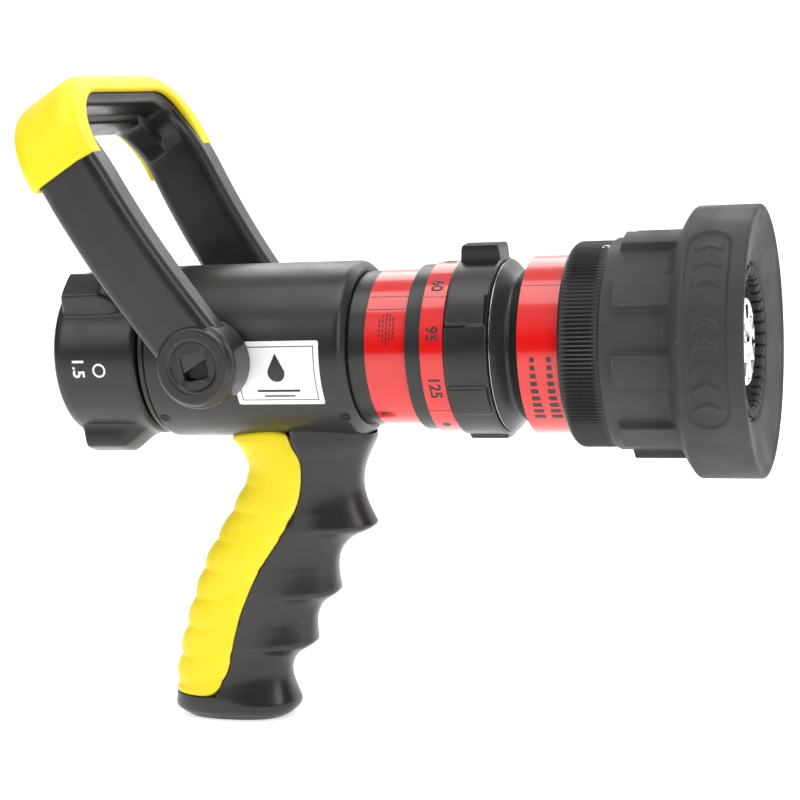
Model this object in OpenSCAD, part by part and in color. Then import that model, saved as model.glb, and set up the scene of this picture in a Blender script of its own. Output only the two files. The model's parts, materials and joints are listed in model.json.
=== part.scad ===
// Selectable-flow fire hose nozzle, 1.5 inch, with pistol grip and ball shut-off.
// The water axis runs along +X, from the hose inlet at X = 0 to the bumper. +Z is up.

/* [Inlet] */
// Radius of the swivel coupling
coupling_r = 34.2; // [32.5:0.1:36]
// Length of the swivel coupling
coupling_len = 37.5; // [36.5:0.5:38]
// Minor diameter of the female hose thread
inlet_d = 48.4; // [46:0.1:49]
// Radius over the rocker lugs
lug_r = 41.8; // [38:0.1:44]
// Number of swivel balls
swivel_ball_count = 24; // [12:1:30]

/* [Valve] */
// Radius of the valve body
body_r = 35.3; // [34.8:0.1:36]
// Front end of the valve body
body_front = 127.6; // [124:0.1:130]
// Station of the valve ball and the bail pivot
pivot_x = 72; // [71:0.5:73]
// Radius of the valve ball
ball_r = 25; // [24.9:0.05:25]
// Radius of the waterway
water_r = 17.5; // [15:0.1:18]

/* [Bail] */
// Backward lean of the open bail, in degrees
bail_lean = 30; // [20:1:40]
// Height of the crossbar's middle above the pivot
bail_reach = 118; // [105:1:120]
// Width of an arm, fore and aft
arm_w = 25; // [20:1:28]
// Outer face of the pivot boss
boss_y = 54; // [52:0.5:56]
// Radius of the pivot boss
boss_r = 17; // [15:0.5:18]
// Thickness of the soft cover
cover_t = 3; // [2:0.5:4]

/* [Grip] */
// Underside of the grip
grip_bottom = -154.6; // [-158:0.1:-154]
// Half width of the grip at its middle
grip_half_w = 15; // [14:0.5:17]
// Depth of the soft insert, as a part of the section
insert_depth = 0.24; // [0.18:0.01:0.3]

/* [Tip] */
// Radius of the selector ring
selector_r = 35; // [34.5:0.1:36]
// Radius over the thumb tab of the selector ring
tab_r = 41; // [38:0.5:41.5]
// Radius of the bands on the tip
front_band_r = 35; // [34.9:0.05:35.05]
// Radius of the knurled grip ring
knurl_r = 40; // [38:0.5:41]
// Radius of the bumper rim
bumper_r = 52; // [50:0.5:54]
// Front of the bumper
tip_front = 285; // [284:0.5:287]
// Number of raised pads on the bumper
pad_count = 9; // [6:1:12]
// Number of fog teeth
tooth_count = 36; // [24:1:48]
// Travel of the pattern sleeve towards fog
fog_travel = 12; // [8:0.5:12]
// Travel of the baffle to each side of its middle setting
baffle_travel = 2; // [1:0.5:2]

/* [Hidden] */
$fn = 96;
black_anodised = "#232323";
black_plastic = "#2b2928";
rubber = "#2f2f30";
band_red = "#d8161b";
soft_yellow = "#f2dd12";
steel = "#b9bcc0";
seal = "#1a1a1a";

// Fits: a running gap between moving pieces and a close gap between fixed ones, on the radius
run = 0.06;
close = 0.03;

// Inlet stations and radii
gasket_x = 13;
gasket_t = 4;
gasket_r = 26.1;
screen_x = gasket_x + 1.6;
tail_x = gasket_x + gasket_t + 0.2;
tail_r = 26.9;
race_x = 29;
swivel_ball_r = 2.4;
lug_angles = [49, 169, 289];
body_rear = 40;

// Valve stations and radii
cavity_r = 25.6;
seat_back = 22.5;
seat_front = 13;
seat_ring_gap = 1.5;
cavity_rear = pivot_x - seat_back - seat_ring_gap;
barrel_rear = pivot_x + seat_back + seat_ring_gap;
ball_flat_y = 22.5;
tang_w = 7.9;
tang_depth = 3.4;
shaft_r = 8;
flange_r = 11;
flange_t = 3;
washer_t = 1;
square_w = 10.6;
square_turn = 10;
arm_in_y = 36.4;
label_t = 0.2;
film_t = 0.2;
set_screw_r = 2;
body_screws_at = [[123.5, -43.5], [45.4, -43.8]];

// Grip stations
saddle_z = -36.5;
saddle_half_w = 15.5;
insert_end = -144.5;
grip_steps = 42;
bolt_top = [103, 0, -30];
bolt_lean = 17;
bolt_r = 3;
bolt_len = 62;
bolt_head_r = 5;
bolt_head_h = 6;

// Tip stations, from the valve body to the front
collar_end = 134.9;
collar_r = 30.8;
rear_band_end = 151.8;
rear_band_r = 31.2;
step_end = 158.4;
step_r = 32.9;
number_end = 167.7;
number_r = 34;
journal_r = 28;
selector_rear = number_end + 0.2;
selector_front = 185.3;
washer_front = 186.4;
spigot_r = 25.5;
spigot_end = 200;
neck_front = 197.1;
waist_r = 29.4;
waist_x = 191.6;
front_band_end = 213.4;
slide_r = 33;
slide_end = 252;
nose_r = 24;
nose_end = 266;
barrel_bore = 19;
throat_r = 20.5;
chamber_r = 22;
cam_pin_r = 2;
cam_x = 176;
cam_groove_r = 30.6;
detent_x = 182.6;
detent_ball_r = 1.6;
detent_turn = 205;
detent_pitch = 36;
baffle_front = 278.6;

// Pattern sleeve and bumper
sleeve_rear = 213.5;
knurl_end = 229.5;
wide_end = 226.4;
sleeve_out_r = 37;
web_rear = slide_end + fog_travel + 0.6;
web_front = 279;
web_bore = 29;
guide_x0 = 238;
guide_x1 = 243;
guide_r = 35.3;
cam_screw_x = 227.6;
cam_screw_r = 1.6;
pads_x0 = 234.6;
pads_x1 = 254;
pad_r = 44.3;
pad_base_r = 41;
pad_w = 12;
rim_rear = 258.5;
rim_lip = 3.2;
mouth_r = 30;
tooth_r = 25.5;
recess_x0 = 263;
recess_x1 = 279;
recess_w = 76;

// Helpers ------------------------------------------------------------------------------------

// Children drawn along +Z are laid along +X from station x
module along_x(x = 0) translate([x, 0, 0]) rotate([0, 90, 0]) children();

// Solid of revolution about X, from points of [radius, station]
module turned(profile) rotate([0, 90, 0]) rotate_extrude() polygon(profile);

// Plain ring about X
module tube(x0, x1, outer, inner) turned([[inner, x0], [outer, x0], [outer, x1], [inner, x1]]);

// Round ring about X, such as an O-ring
module o_ring(x, r, wire) along_x(x) rotate_extrude() translate([r, 0]) circle(wire);

// Children at the near side (-Y) are turned up round X by angle a
module around(a) rotate([-a, 0, 0]) children();

// Radial rod on the near side: from radius r0 out to r1, at station x
module spoke(x, r0, r1, r) translate([x, -r0, 0]) rotate([90, 0, 0]) cylinder(h = r1 - r0, r = r);

// The bail's own frame: pivot at the origin, +Z up the arms, +X forward
module in_bail() translate([pivot_x, 0, 0]) rotate([0, -bail_lean, 0]) children();

// Mirror image across the middle plane, with the original
module both_sides() {
    children();
    mirror([0, 1, 0]) children();
}

// Closed skin over rings of points that all hold the same number of points. The ends of a folded
// ring, whose second half runs back inside its first, are closed by a strip across the wall.
module loft(rings, folded = false) {
    n = len(rings[0]);
    m = len(rings);
    last = (m - 1) * n;
    points = [for (ring = rings) each ring];
    walls = [for (i = [0:m - 2], j = [0:n - 1])
        each let (a = i * n + j, b = i * n + (j + 1) % n)
            [[a, b, b + n], [a, b + n, a + n]]];
    ends = folded
        ? [for (j = [0:n / 2 - 2]) each let (k = n - 1 - j)
            [[k, k - 1, j + 1, j], [last + j, last + j + 1, last + k - 1, last + k]]]
        : [[for (j = [n - 1:-1:0]) j], [for (j = [0:n - 1]) last + j]];
    polyhedron(points, concat(walls, ends), convexity = 8);
}

function mix(a, b, t) = a + (b - a) * t;
function clamp(t) = min(1, max(0, t));
function ease(t) = (1 - cos(180 * clamp(t))) / 2;
function sign_pow(v, p) = sign(v) * pow(abs(v), p);

// Smooth curve through points of [position, value], by cubic steps
function through(pts, p, i = 0) =
    i >= len(pts) - 2 || p <= pts[i + 1][0] ? cubic(pts, i, p) : through(pts, p, i + 1);
function slope(pts, i) =
    let (a = max(0, i - 1), b = min(len(pts) - 1, i + 1))
    (pts[b][1] - pts[a][1]) / (pts[b][0] - pts[a][0]);
function cubic(pts, i, p) =
    let (h = pts[i + 1][0] - pts[i][0], t = (p - pts[i][0]) / h, u = 1 - t)
    pts[i][1] * (1 + 2 * t) * u * u + slope(pts, i) * h * t * u * u
    + pts[i + 1][1] * (3 - 2 * t) * t * t - slope(pts, i + 1) * h * t * t * u;

// Swivel inlet -------------------------------------------------------------------------------

module lug(a) {
    side = [[4.5, 30], [4.5, lug_r - 3], [7.5, lug_r + 1], [22, lug_r + 1], [32.5, coupling_r - 1],
            [32.5, 30]];
    around(a) intersection() {
        translate([0, 0, -6.5]) mirror([0, 1, 0]) linear_extrude(13) polygon(side);
        along_x(0) cylinder(h = coupling_len, r = lug_r);
    }
}

module swivel_coupling() color(black_anodised) difference() {
    union() {
        turned([[inlet_d / 2, 0], [coupling_r - 2.8, 0], [coupling_r - 0.7, 1.8],
                [coupling_r, 4.5], [coupling_r, coupling_len - 1.5],
                [coupling_r - 1.2, coupling_len], [tail_r + run, coupling_len],
                [tail_r + run, tail_x], [gasket_r + 0.05, tail_x],
                [gasket_r + 0.05, gasket_x], [inlet_d / 2, gasket_x]]);
        for (a = lug_angles) lug(a);
    }
    o_ring(race_x, tail_r, swivel_ball_r + 0.1);
    around(-130) spoke(race_x, tail_r - 1, coupling_r + 2, 2.8);
}

module inlet_gasket() color(seal) tube(gasket_x + 0.02, gasket_x + gasket_t, gasket_r, 20);

module inlet_screen() color(steel) difference() {
    turned([[0, screen_x + 6], [5.8, screen_x + 5.6], [16.8, screen_x], [19.95, screen_x],
            [19.95, screen_x + 0.8], [17.1, screen_x + 0.8], [6, screen_x + 6.4], [0, screen_x + 6.8]]);
    for (row = [1:3], k = [0:6 * row - 1])
        along_x(gasket_x - 14) rotate([0, 0, 60 * k / row]) translate([4.1 * row, 0, 0])
            cylinder(h = 40, r = 1.3, $fn = 16);
    along_x(gasket_x - 14) cylinder(h = 40, r = 1.3, $fn = 16);
}

module swivel_balls() color(steel)
    for (k = [0:swivel_ball_count - 1])
        around(360 * k / swivel_ball_count) translate([race_x, -tail_r, 0])
            sphere(r = swivel_ball_r, $fn = 24);

module race_plug() color(steel) around(-130) difference() {
    spoke(race_x, tail_r + swivel_ball_r + 0.15, coupling_r - 0.2, 2.75);
    spoke(race_x, coupling_r - 2.2, coupling_r + 1, 1.4, $fn = 6);
}

module swivel_o_ring() color(seal) o_ring(22, tail_r - 1.15, 1.15);

// Valve --------------------------------------------------------------------------------------

module saddle() {
    translate([62, -saddle_half_w, saddle_z]) cube([body_front - 63.6, 2 * saddle_half_w, 14]);
}

module valve_body() color(black_anodised) difference() {
    union() {
        turned([[barrel_bore, tail_x], [tail_r, tail_x], [tail_r, body_rear],
                [body_r - 1.6, body_rear], [body_r, body_rear + 2],
                [body_r, body_front - 1.6], [body_r - 1.6, body_front],
                [barrel_bore, body_front]]);
        saddle();
    }
    along_x(cavity_rear) cylinder(h = 100, r = cavity_r);
    o_ring(race_x, tail_r, swivel_ball_r + 0.1);
    tube(22 - 1.25, 22 + 1.25, tail_r + 1, tail_r - 2.35);
    both_sides() {
        spoke(pivot_x, 15, body_r + 2, shaft_r + run);
        spoke(pivot_x, 15, ball_flat_y + 0.1 + flange_t + washer_t, flange_r + 0.1);
    }
    for (at = body_screws_at) around(at[1]) spoke(at[0], body_r - 5, body_r + 2, set_screw_r + close);
    translate(bolt_top) rotate([0, bolt_lean, 0]) translate([0, 0, -20])
        cylinder(h = 20.5, r = bolt_r + close);
}

module seat(side) {
    difference() {
        translate([pivot_x, 0, 0]) mirror([side < 0 ? 1 : 0, 0, 0])
            tube(seat_front, seat_back, cavity_r - close, water_r);
        translate([pivot_x, 0, 0]) sphere(r = ball_r + run);
        both_sides() spoke(pivot_x, 15, 30, flange_r + 0.3);
    }
}

module rear_seat() color("white") seat(-1);

module front_seat() color("white") seat(1);

module seat_o_rings() color(seal)
    for (x = [cavity_rear + 0.75, barrel_rear - 0.75]) o_ring(x, 22.4, 0.73);

module valve_ball() color(steel) difference() {
    intersection() {
        translate([pivot_x, 0, 0]) sphere(r = ball_r);
        translate([pivot_x - 30, -ball_flat_y, -30]) cube([60, 2 * ball_flat_y, 60]);
    }
    along_x(0) cylinder(h = 120, r = water_r);
    both_sides() translate([pivot_x - 30, -ball_flat_y - 1, -tang_w / 2 - close])
        cube([60, tang_depth + 1.1, tang_w + 2 * close]);
}

module square_bar(y0, y1, w)
    translate([pivot_x, 0, 0]) rotate([0, square_turn, 0])
        translate([-w / 2, -y1, -w / 2]) cube([w, y1 - y0, w]);

module trunnions() color(steel) both_sides() difference() {
    union() {
        translate([pivot_x - 8, -ball_flat_y - 0.5, -tang_w / 2])
            cube([16, tang_depth + 0.4, tang_w]);
        spoke(pivot_x, ball_flat_y + 0.1, ball_flat_y + 0.1 + flange_t, flange_r);
        spoke(pivot_x, ball_flat_y + 1, arm_in_y - 0.4, shaft_r);
        square_bar(arm_in_y - 1, 49, square_w);
    }
    translate([pivot_x, -31, 0]) rotate([90, 0, 0]) rotate_extrude()
        translate([6.95, -1.1]) square([2, 2.2]);
}

module trunnion_washers() color("white") both_sides() difference() {
    spoke(pivot_x, ball_flat_y + 0.1 + flange_t, ball_flat_y + 0.1 + flange_t + washer_t - 0.02,
          flange_r);
    spoke(pivot_x, 15, 40, shaft_r + close);
}

module trunnion_o_rings() color(seal) both_sides()
    translate([pivot_x, -31, 0]) rotate([90, 0, 0]) rotate_extrude()
        translate([7.5, 0]) circle(0.5, $fn = 24);

// Bail ---------------------------------------------------------------------------------------

corner_r = 23;
arm_top_y = 51;
arm_top = bail_reach - corner_r;
arm_foot_y = 43.8;
arm_steps = 9;
corner_steps = 9;
bar_steps = 3;

// Middle line of one half of the bail, from the pivot to the top: [y, height, angle, share]
function half_line() = concat(
    [for (i = [0:arm_steps - 1]) let (t = i / arm_steps)
        [mix(arm_foot_y, arm_top_y, t), t * arm_top, 0, 0]],
    [for (i = [0:corner_steps]) let (a = 90 * i / corner_steps)
        [arm_top_y - corner_r + corner_r * cos(a), arm_top + corner_r * sin(a), a,
         ease(i / corner_steps)]],
    [for (i = [1:bar_steps]) [(arm_top_y - corner_r) * (1 - i / bar_steps), bail_reach, 90, 1]]);

function bow(h) = -4 * sin(180 * clamp(h / (bail_reach + 4)));

// Rounded rectangle of half sizes a (through the bar) and b (fore and aft), corner radius r
function round_section(a, b, r, k = 4) = [for (q = [0:3], i = [0:k])
    let (t = 90 * (q + i / k), sx = q == 0 || q == 3 ? 1 : -1, sy = q < 2 ? 1 : -1)
    [sx * (a - r) + r * cos(t), sy * (b - r) + r * sin(t)]];

// Places a section of [through, fore] points across the middle line at stop p on side s
function across(section, p, s) = [for (q = section)
    [q[1] + bow(p[1]), s * (p[0] + q[0] * cos(p[2])), p[1] + q[0] * sin(p[2])]];

function bail_section(p, grow = 0) =
    let (half_t = mix(mix(7.3, 8.3, clamp(p[1] / arm_top)), 5, p[3]))
    round_section(half_t + grow, arm_w / 2 + p[3] + grow, 4 + grow);

function whole_line(first) =
    let (half = [for (p = half_line()) if (p[1] >= first) p], n = len(half))
    concat([for (p = half) [p, 1]], [for (i = [n - 2:-1:0]) [half[i], -1]]);

module arms() {
    stops = whole_line(0);
    loft([for (stop = stops) across(bail_section(stop[0]), stop[0], stop[1])]);
}

module boss() difference() {
    spoke(pivot_x, arm_in_y, boss_y, boss_r);
    spoke(pivot_x, boss_y - 1.2, boss_y + 1, 9.5);
}

module set_screw_hole(r, x0, x1)
    translate([pivot_x, -44, 0]) rotate([0, 96, 0]) translate([0, 0, x0]) cylinder(h = x1 - x0, r = r);

module bail() color(black_plastic) difference() {
    union() {
        in_bail() arms();
        both_sides() boss();
    }
    both_sides() {
        square_bar(30, 60, square_w + 2 * close);
        spoke(pivot_x, boss_y - 1.2, boss_y + 1, 9.5);
        set_screw_hole(set_screw_r + close, 4, boss_r + 3);
    }
    translate([pivot_x - 40, -arm_in_y, -40]) cube([80, 2 * arm_in_y, 80]);
}

module bail_set_screws() color(steel) both_sides() difference() {
    set_screw_hole(set_screw_r, square_w / 2 + 0.25, 13.5);
    set_screw_hole(1, 11.5, 15, $fn = 6);
}

cover_foot = 88;

// Section of the cover: a channel open towards the hand, folded over the bar's front and back
function cover_section(p) =
    let (grow = cover_t, a = mix(8.3, 5, p[3]), b = arm_w / 2 + p[3], lip = mix(-2.5, -1.5, p[3]),
         outer = round_section(a + grow, b + grow, 4 + grow), inner = round_section(a + 0.04, b + 0.04, 4),
         top = [for (q = [15:19]) outer[q]], top2 = [for (q = [0:4]) outer[q]],
         low = [for (q = [15:19]) inner[q]], low2 = [for (q = [0:4]) inner[q]])
    concat([[lip, -b - grow]], top, top2, [[lip, b + grow], [lip, b + 0.04]],
           [for (i = [4:-1:0]) low2[i]], [for (i = [4:-1:0]) low[i]], [[lip, -b - 0.04]]);

module bail_cover() color(soft_yellow) in_bail() {
    stops = whole_line(cover_foot);
    loft([for (stop = stops) across(cover_section(stop[0]), stop[0], stop[1])], folded = true);
}

// Body trim ----------------------------------------------------------------------------------

module side_label() color("white") intersection() {
    tube(81, 117.5, body_r + label_t, body_r);
    around(-9.5) rotate([0, 90, 0]) translate([0, 0, 60]) linear_extrude(80)
        polygon([[0, 0], [60 * sin(21.5), -60 * cos(21.5)], [-60 * sin(21.5), -60 * cos(21.5)]]);
}

module body_set_screws() color(steel)
    for (at = body_screws_at) around(at[1]) difference() {
        spoke(at[0], body_r - 4.9, body_r - 1, set_screw_r);
        spoke(at[0], body_r - 2.4, body_r + 1, 1, $fn = 6);
    }

// Grip ---------------------------------------------------------------------------------------

// Finger ridges at the front: [height, station, depth of the hollow below, skew of the hollow]
ridges = [[saddle_z, 126.5, 6, 1], [-71, 125.2, 10, 0.55], [-98.5, 107, 5.5, 0.55],
          [-121, 95.6, 8.5, 0.55], [-149.5, 87.2, 0, 1]];

function ridge_of(z, i = 0) = i >= len(ridges) - 2 || z >= ridges[i + 1][0] ? i : ridge_of(z, i + 1);

function grip_front(z) =
    let (i = ridge_of(z), a = ridges[i], b = ridges[i + 1], t = clamp((a[0] - z) / (a[0] - b[0])))
    mix(a[1], b[1], t) - a[2] * sin(180 * pow(t, a[3])) - 9 * pow(clamp((-150 - z) / 8), 2);

// Back line of the grip, with the shallow ribs of the insert
back_line = [[grip_bottom, 39], [-152.5, 31.6], [-147.5, 32.6], [-130, 35], [-110, 41], [-86, 51],
             [-66, 63.5], [-50, 72.6], [-42, 71], [saddle_z, 66.5]];
rib_pitch = 12.4;

function rib(z) = 1.1 * pow(abs(sin(180 * (z + 54) / rib_pitch)), 0.7)
    * ease((-z - 52) / 6) * ease((z + 146) / 8);
function grip_back(z) = through(back_line, z) - rib(z);

function grip_half(z) =
    through([[grip_bottom, 13.5], [-152, 16.5], [-140, grip_half_w], [-100, grip_half_w - 0.3],
             [-60, grip_half_w], [saddle_z, saddle_half_w]], z);

section_power = 2.5;
split_share = 0.06;
split_angle = acos(pow(split_share, section_power / 2));
arc_steps = 9;
core_inner = 1 - insert_depth;
insert_inner = core_inner + 0.012;

// Point of the grip's section at height z and angle t from the front, drawn in by share k
function grip_point(z, t, k = 1) =
    let (f = grip_front(z), b = grip_back(z), a = (f - b) / 2)
    [(f + b) / 2 + k * a * sign_pow(cos(t), 2 / section_power),
     k * grip_half(z) * sign_pow(sin(t), 2 / section_power), z];

function front_arc(z) = [for (i = [0:arc_steps])
    grip_point(z, mix(-split_angle, split_angle, i / arc_steps))];
function back_arc(z, k) = [for (i = [0:arc_steps])
    grip_point(z, mix(split_angle, 360 - split_angle, i / arc_steps), k)];

function core_ring(z, k) = concat(front_arc(z), back_arc(z, k));
function insert_ring(z, k) =
    concat(back_arc(z, 1), [for (i = [arc_steps:-1:0]) back_arc(z, k)[i]]);

function grip_level(i) = mix(insert_end, saddle_z, i / grip_steps);

module grip() color(black_plastic) difference() {
    loft(concat(
        [for (z = [grip_bottom, grip_bottom + 0.9, grip_bottom + 2.6, -149.5, insert_end - 0.4])
            core_ring(z, 0.999)],
        [for (i = [0:grip_steps]) core_ring(grip_level(i), core_inner)]));
    translate(bolt_top) rotate([0, bolt_lean, 0]) {
        translate([0, 0, -bolt_len - 10]) cylinder(h = bolt_len + 12, r = bolt_r + 0.3);
        translate([0, 0, -bolt_len - 90]) cylinder(h = 90, r = 7);
    }
    translate([117, -20, -42.5]) rotate([-90, 0, 0]) cylinder(h = 12, r = 3.4);
    translate([117, -20, -42.5]) rotate([-90, 0, 0]) cylinder(h = 20, r = 1.8);
}

module grip_insert() color(soft_yellow)
    loft([for (i = [0:grip_steps]) insert_ring(grip_level(i) + (i == 0 ? 0.1 : 0), insert_inner)],
         folded = true);

module grip_bolt() color(steel) translate(bolt_top) rotate([0, bolt_lean, 0]) difference() {
    union() {
        translate([0, 0, -bolt_len - 1.2]) cylinder(h = bolt_len + 1, r = bolt_r);
        translate([0, 0, -bolt_len - 1.2 - bolt_head_h]) cylinder(h = bolt_head_h, r = bolt_head_r);
    }
    translate([0, 0, -bolt_len - 8]) cylinder(h = 4, r = 2.9, $fn = 6);
}

module grip_washer() color(steel) translate(bolt_top) rotate([0, bolt_lean, 0])
    translate([0, 0, -bolt_len - 1.2]) difference() {
        cylinder(h = 1.15, r = 6.5);
        translate([0, 0, -1]) cylinder(h = 4, r = bolt_r + 0.1);
    }

module grip_screw() color(steel) translate([117, -10.5, -42.5]) rotate([-90, 0, 0]) difference() {
    union() {
        cylinder(h = 2.4, r = 3.2);
        cylinder(h = 10, r = 1.75);
    }
    translate([0, 0, -1]) cylinder(h = 2.2, r = 1.3, $fn = 6);
}

// Fixed barrels ------------------------------------------------------------------------------

module rear_barrel() color(black_anodised) difference() {
    turned([[barrel_bore, barrel_rear], [cavity_r - close, barrel_rear],
            [cavity_r - close, body_front + 0.05], [collar_r, body_front + 0.05],
            [collar_r, collar_end], [rear_band_r - film_t, collar_end],
            [rear_band_r - film_t, rear_band_end], [step_r, rear_band_end], [step_r, step_end],
            [number_r - film_t, step_end], [number_r - film_t, number_end], [journal_r, number_end],
            [journal_r, washer_front], [spigot_r, washer_front], [spigot_r, spigot_end],
            [barrel_bore, spigot_end]]);
    tube(120, 122.6, cavity_r + 1, cavity_r - 2.4);
    tube(190, 192.4, spigot_r + 1, spigot_r - 1.8);
    for (s = [-1, 1]) {
        for (e = [-1, 1]) translate([cam_x + e * baffle_travel, 0, s * 24])
            cylinder(h = 14, r = cam_pin_r + 0.1, center = true);
        translate([cam_x, 0, s * 24])
            cube([2 * baffle_travel, 2 * cam_pin_r + 0.2, 14], center = true);
    }
    o_ring(detent_x, journal_r + 0.8, detent_ball_r + 0.1);
    for (k = [-2:2]) around(detent_turn + k * detent_pitch)
        translate([detent_x, -journal_r - 0.5, 0]) sphere(r = detent_ball_r + 0.2);
}

module barrel_o_ring() color(seal) o_ring(121.3, cavity_r - 1.24, 1.16);

module rear_band() color(band_red)
    tube(collar_end + 0.1, rear_band_end - 0.1, rear_band_r, rear_band_r - film_t);

module number_band() color(band_red) tube(step_end + 0.05, number_end, number_r, number_r - film_t);

module selector_ring() color(black_anodised) difference() {
    union() {
        turned([[journal_r + run, selector_rear], [selector_r - 0.6, selector_rear],
                [selector_r, selector_rear + 0.6], [selector_r, selector_front - 0.6],
                [selector_r - 0.6, selector_front], [journal_r + run, selector_front]]);
        for (k = [0:5]) around(30 + 60 * k) intersection() {
            translate([selector_rear + 0.5, -selector_r - 1.8, -6.5])
                cube([selector_front - selector_rear - 1, 8, 13]);
            along_x(selector_rear) cylinder(h = 18, r = selector_r + 1.6);
        }
        translate([selector_rear + 1, -7, 30])
            cube([selector_front - selector_rear - 1.4, 14, tab_r - 30]);
    }
    tube(cam_x - baffle_travel - cam_pin_r - 0.3, cam_x + baffle_travel + cam_pin_r + 0.3,
         cam_groove_r, journal_r - 1);
    around(detent_turn) spoke(detent_x, journal_r - 1, selector_r + 3, detent_ball_r + 0.05);
    around(20) translate([selector_rear - 1, -selector_r - 0.1, -0.6]) cube([9, 0.8, 1.2]);
}

module detent_ball() color(steel) around(detent_turn)
    translate([detent_x, -journal_r - 0.85, 0]) sphere(r = detent_ball_r);

// Flat coils that stand for the wound spring's closed rings
module detent_spring() color(steel) around(detent_turn)
    translate([detent_x, -journal_r - 0.85 - detent_ball_r - 0.02, 0]) rotate([90, 0, 0])
        for (k = [0:4]) translate([0, 0, 0.2 + 0.42 * k])
            rotate_extrude() translate([1.2, 0]) circle(0.22, $fn = 16);

module detent_screw() color(steel) around(detent_turn) difference() {
    spoke(detent_x, journal_r + 4.6, selector_r - 0.1, detent_ball_r);
    spoke(detent_x, selector_r - 1.2, selector_r + 1, 0.8, $fn = 6);
}

module thrust_washer() color(steel)
    tube(selector_front + 0.1, washer_front, selector_r - 0.2, journal_r + close);

// Hollow of the neck behind the front band, as points on a smooth curve
function neck_curve() = [for (i = [0:10]) let (t = i / 10)
    [through([[0, 34.2], [0.45, waist_r], [0.62, waist_r + 0.3], [1, 34.2]], t),
     mix(washer_front + 0.1, neck_front, t)]];

module front_barrel() color(black_anodised) difference() {
    turned(concat([[spigot_r + close, washer_front + 0.1]], neck_curve(),
           [[front_band_r - film_t, neck_front], [front_band_r - film_t, front_band_end],
            [slide_r, front_band_end], [slide_r, slide_end], [nose_r, slide_end + 1],
            [nose_r, nose_end - 1], [nose_r - 1, nose_end], [throat_r, nose_end],
            [throat_r, 250], [chamber_r, 244], [chamber_r, spigot_end + 0.3],
            [spigot_r + close, spigot_end + 0.3]]));
    tube(front_band_end + 0.6, cam_screw_x + 2.2, slide_r + 1, slide_r - 2.6);
    tube(246, 248.6, slide_r + 1, slide_r - 2.3);
}

module joint_o_ring() color(seal) o_ring(191.2, spigot_r - 0.9, 0.87);

module front_band() color(band_red)
    tube(neck_front + 0.1, front_band_end - 0.05, front_band_r, front_band_r - film_t);

module stem_guide() color(steel) difference() {
    union() {
        tube(228, 236, 8, 5 + run);
        for (k = [0:2]) around(90 + 120 * k) translate([229, -chamber_r + close, -1])
            cube([6, chamber_r - 7, 2]);
    }
    tube(220, 240, chamber_r + 4, chamber_r - close);
}

// Stem and baffle ----------------------------------------------------------------------------

module stem() color(steel) difference() {
    union() {
        along_x(168) cylinder(h = 102, r = 5);
        along_x(cam_x - 5) cylinder(h = 10, r = 8);
        for (k = [0:3]) around(90 * k) intersection() {
            vane_w = k % 2 == 0 ? 3 : 6;
            translate([cam_x - 5, -barrel_bore, -vane_w / 2]) cube([10, barrel_bore - 6, vane_w]);
            along_x(cam_x - 6) cylinder(h = 12, r = barrel_bore - run);
        }
    }
    along_x(260) cylinder(h = 12, r = 3.03);
    for (s = [-1, 1]) translate([cam_x, 0, s * 14]) cylinder(h = 14, r = cam_pin_r + close, center = true);
}

module cam_pins() color(steel)
    for (s = [0, 180]) rotate([s, 0, 0]) translate([cam_x, 0, 8]) cylinder(h = 22.2, r = cam_pin_r);

module baffle_head() color(steel)
    turned([[5 + close, 262], [6.5, 262], [16.2, 273.8], [17, 274.8], [17, baffle_front - 0.6],
            [16.4, baffle_front], [8, baffle_front], [7, baffle_front - 1], [3.05, baffle_front - 1],
            [3.05, 270.02], [5 + close, 270.02]]);

module baffle_screw() color(steel) {
    along_x(261) cylinder(h = baffle_front - 261.9, r = 3);
    along_x(baffle_front - 0.98) intersection() {
        translate([0, 0, -3.5]) sphere(r = 6.4);
        cylinder(h = 8, r = 5.3);
    }
}

// Pattern sleeve -----------------------------------------------------------------------------

module glide_ring() color("white") tube(guide_x0 + 0.1, guide_x1 - 0.1, guide_r - 0.1, slide_r + run);

module pattern_sleeve() color(black_anodised) difference() {
    turned([[front_band_r + 0.2, sleeve_rear], [knurl_r - 1.4, sleeve_rear],
            [knurl_r, sleeve_rear + 1.4], [knurl_r, knurl_end],
            [sleeve_out_r, knurl_end], [sleeve_out_r, web_front], [web_bore, web_front],
            [web_bore, web_rear], [slide_r + 0.2, web_rear], [slide_r + 0.2, guide_x1],
            [guide_r, guide_x1], [guide_r, guide_x0], [slide_r + 0.2, guide_x0],
            [slide_r + 0.2, wide_end], [front_band_r + 0.2, wide_end]]);
    for (a = [75, 255]) around(a) spoke(cam_screw_x, slide_r - 3, knurl_r + 2, cam_screw_r + close);
}

module sleeve_o_ring() color(seal) o_ring(247.3, slide_r - 1.02, 1.1);

module cam_screws() color(steel) for (a = [75, 255]) around(a) difference() {
    spoke(cam_screw_x, slide_r - 2.3, knurl_r - 0.2, cam_screw_r);
    spoke(cam_screw_x, knurl_r - 1.6, knurl_r + 1, 0.9, $fn = 6);
}

module fog_teeth_ring() color(rubber) difference() {
    tube(web_rear + 6, web_front + 1.6, web_bore - close, tooth_r);
    for (k = [0:tooth_count - 1]) around(360 * k / tooth_count)
        translate([web_front - 4, -web_bore + 1.2, -0.7]) cube([8, 3, 1.4]);
}

module pad() intersection() {
    tube(pads_x0, pads_x1 + 2, pad_r, pad_base_r - 1);
    translate([pads_x0, -60, -pad_w / 2]) cube([30, 60, pad_w]);
}

module side_recess() intersection() {
    tube(recess_x0, recess_x1, bumper_r + 2, bumper_r - 1);
    translate([recess_x0, -60, -recess_w / 2]) cube([30, 60, recess_w]);
}

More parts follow.
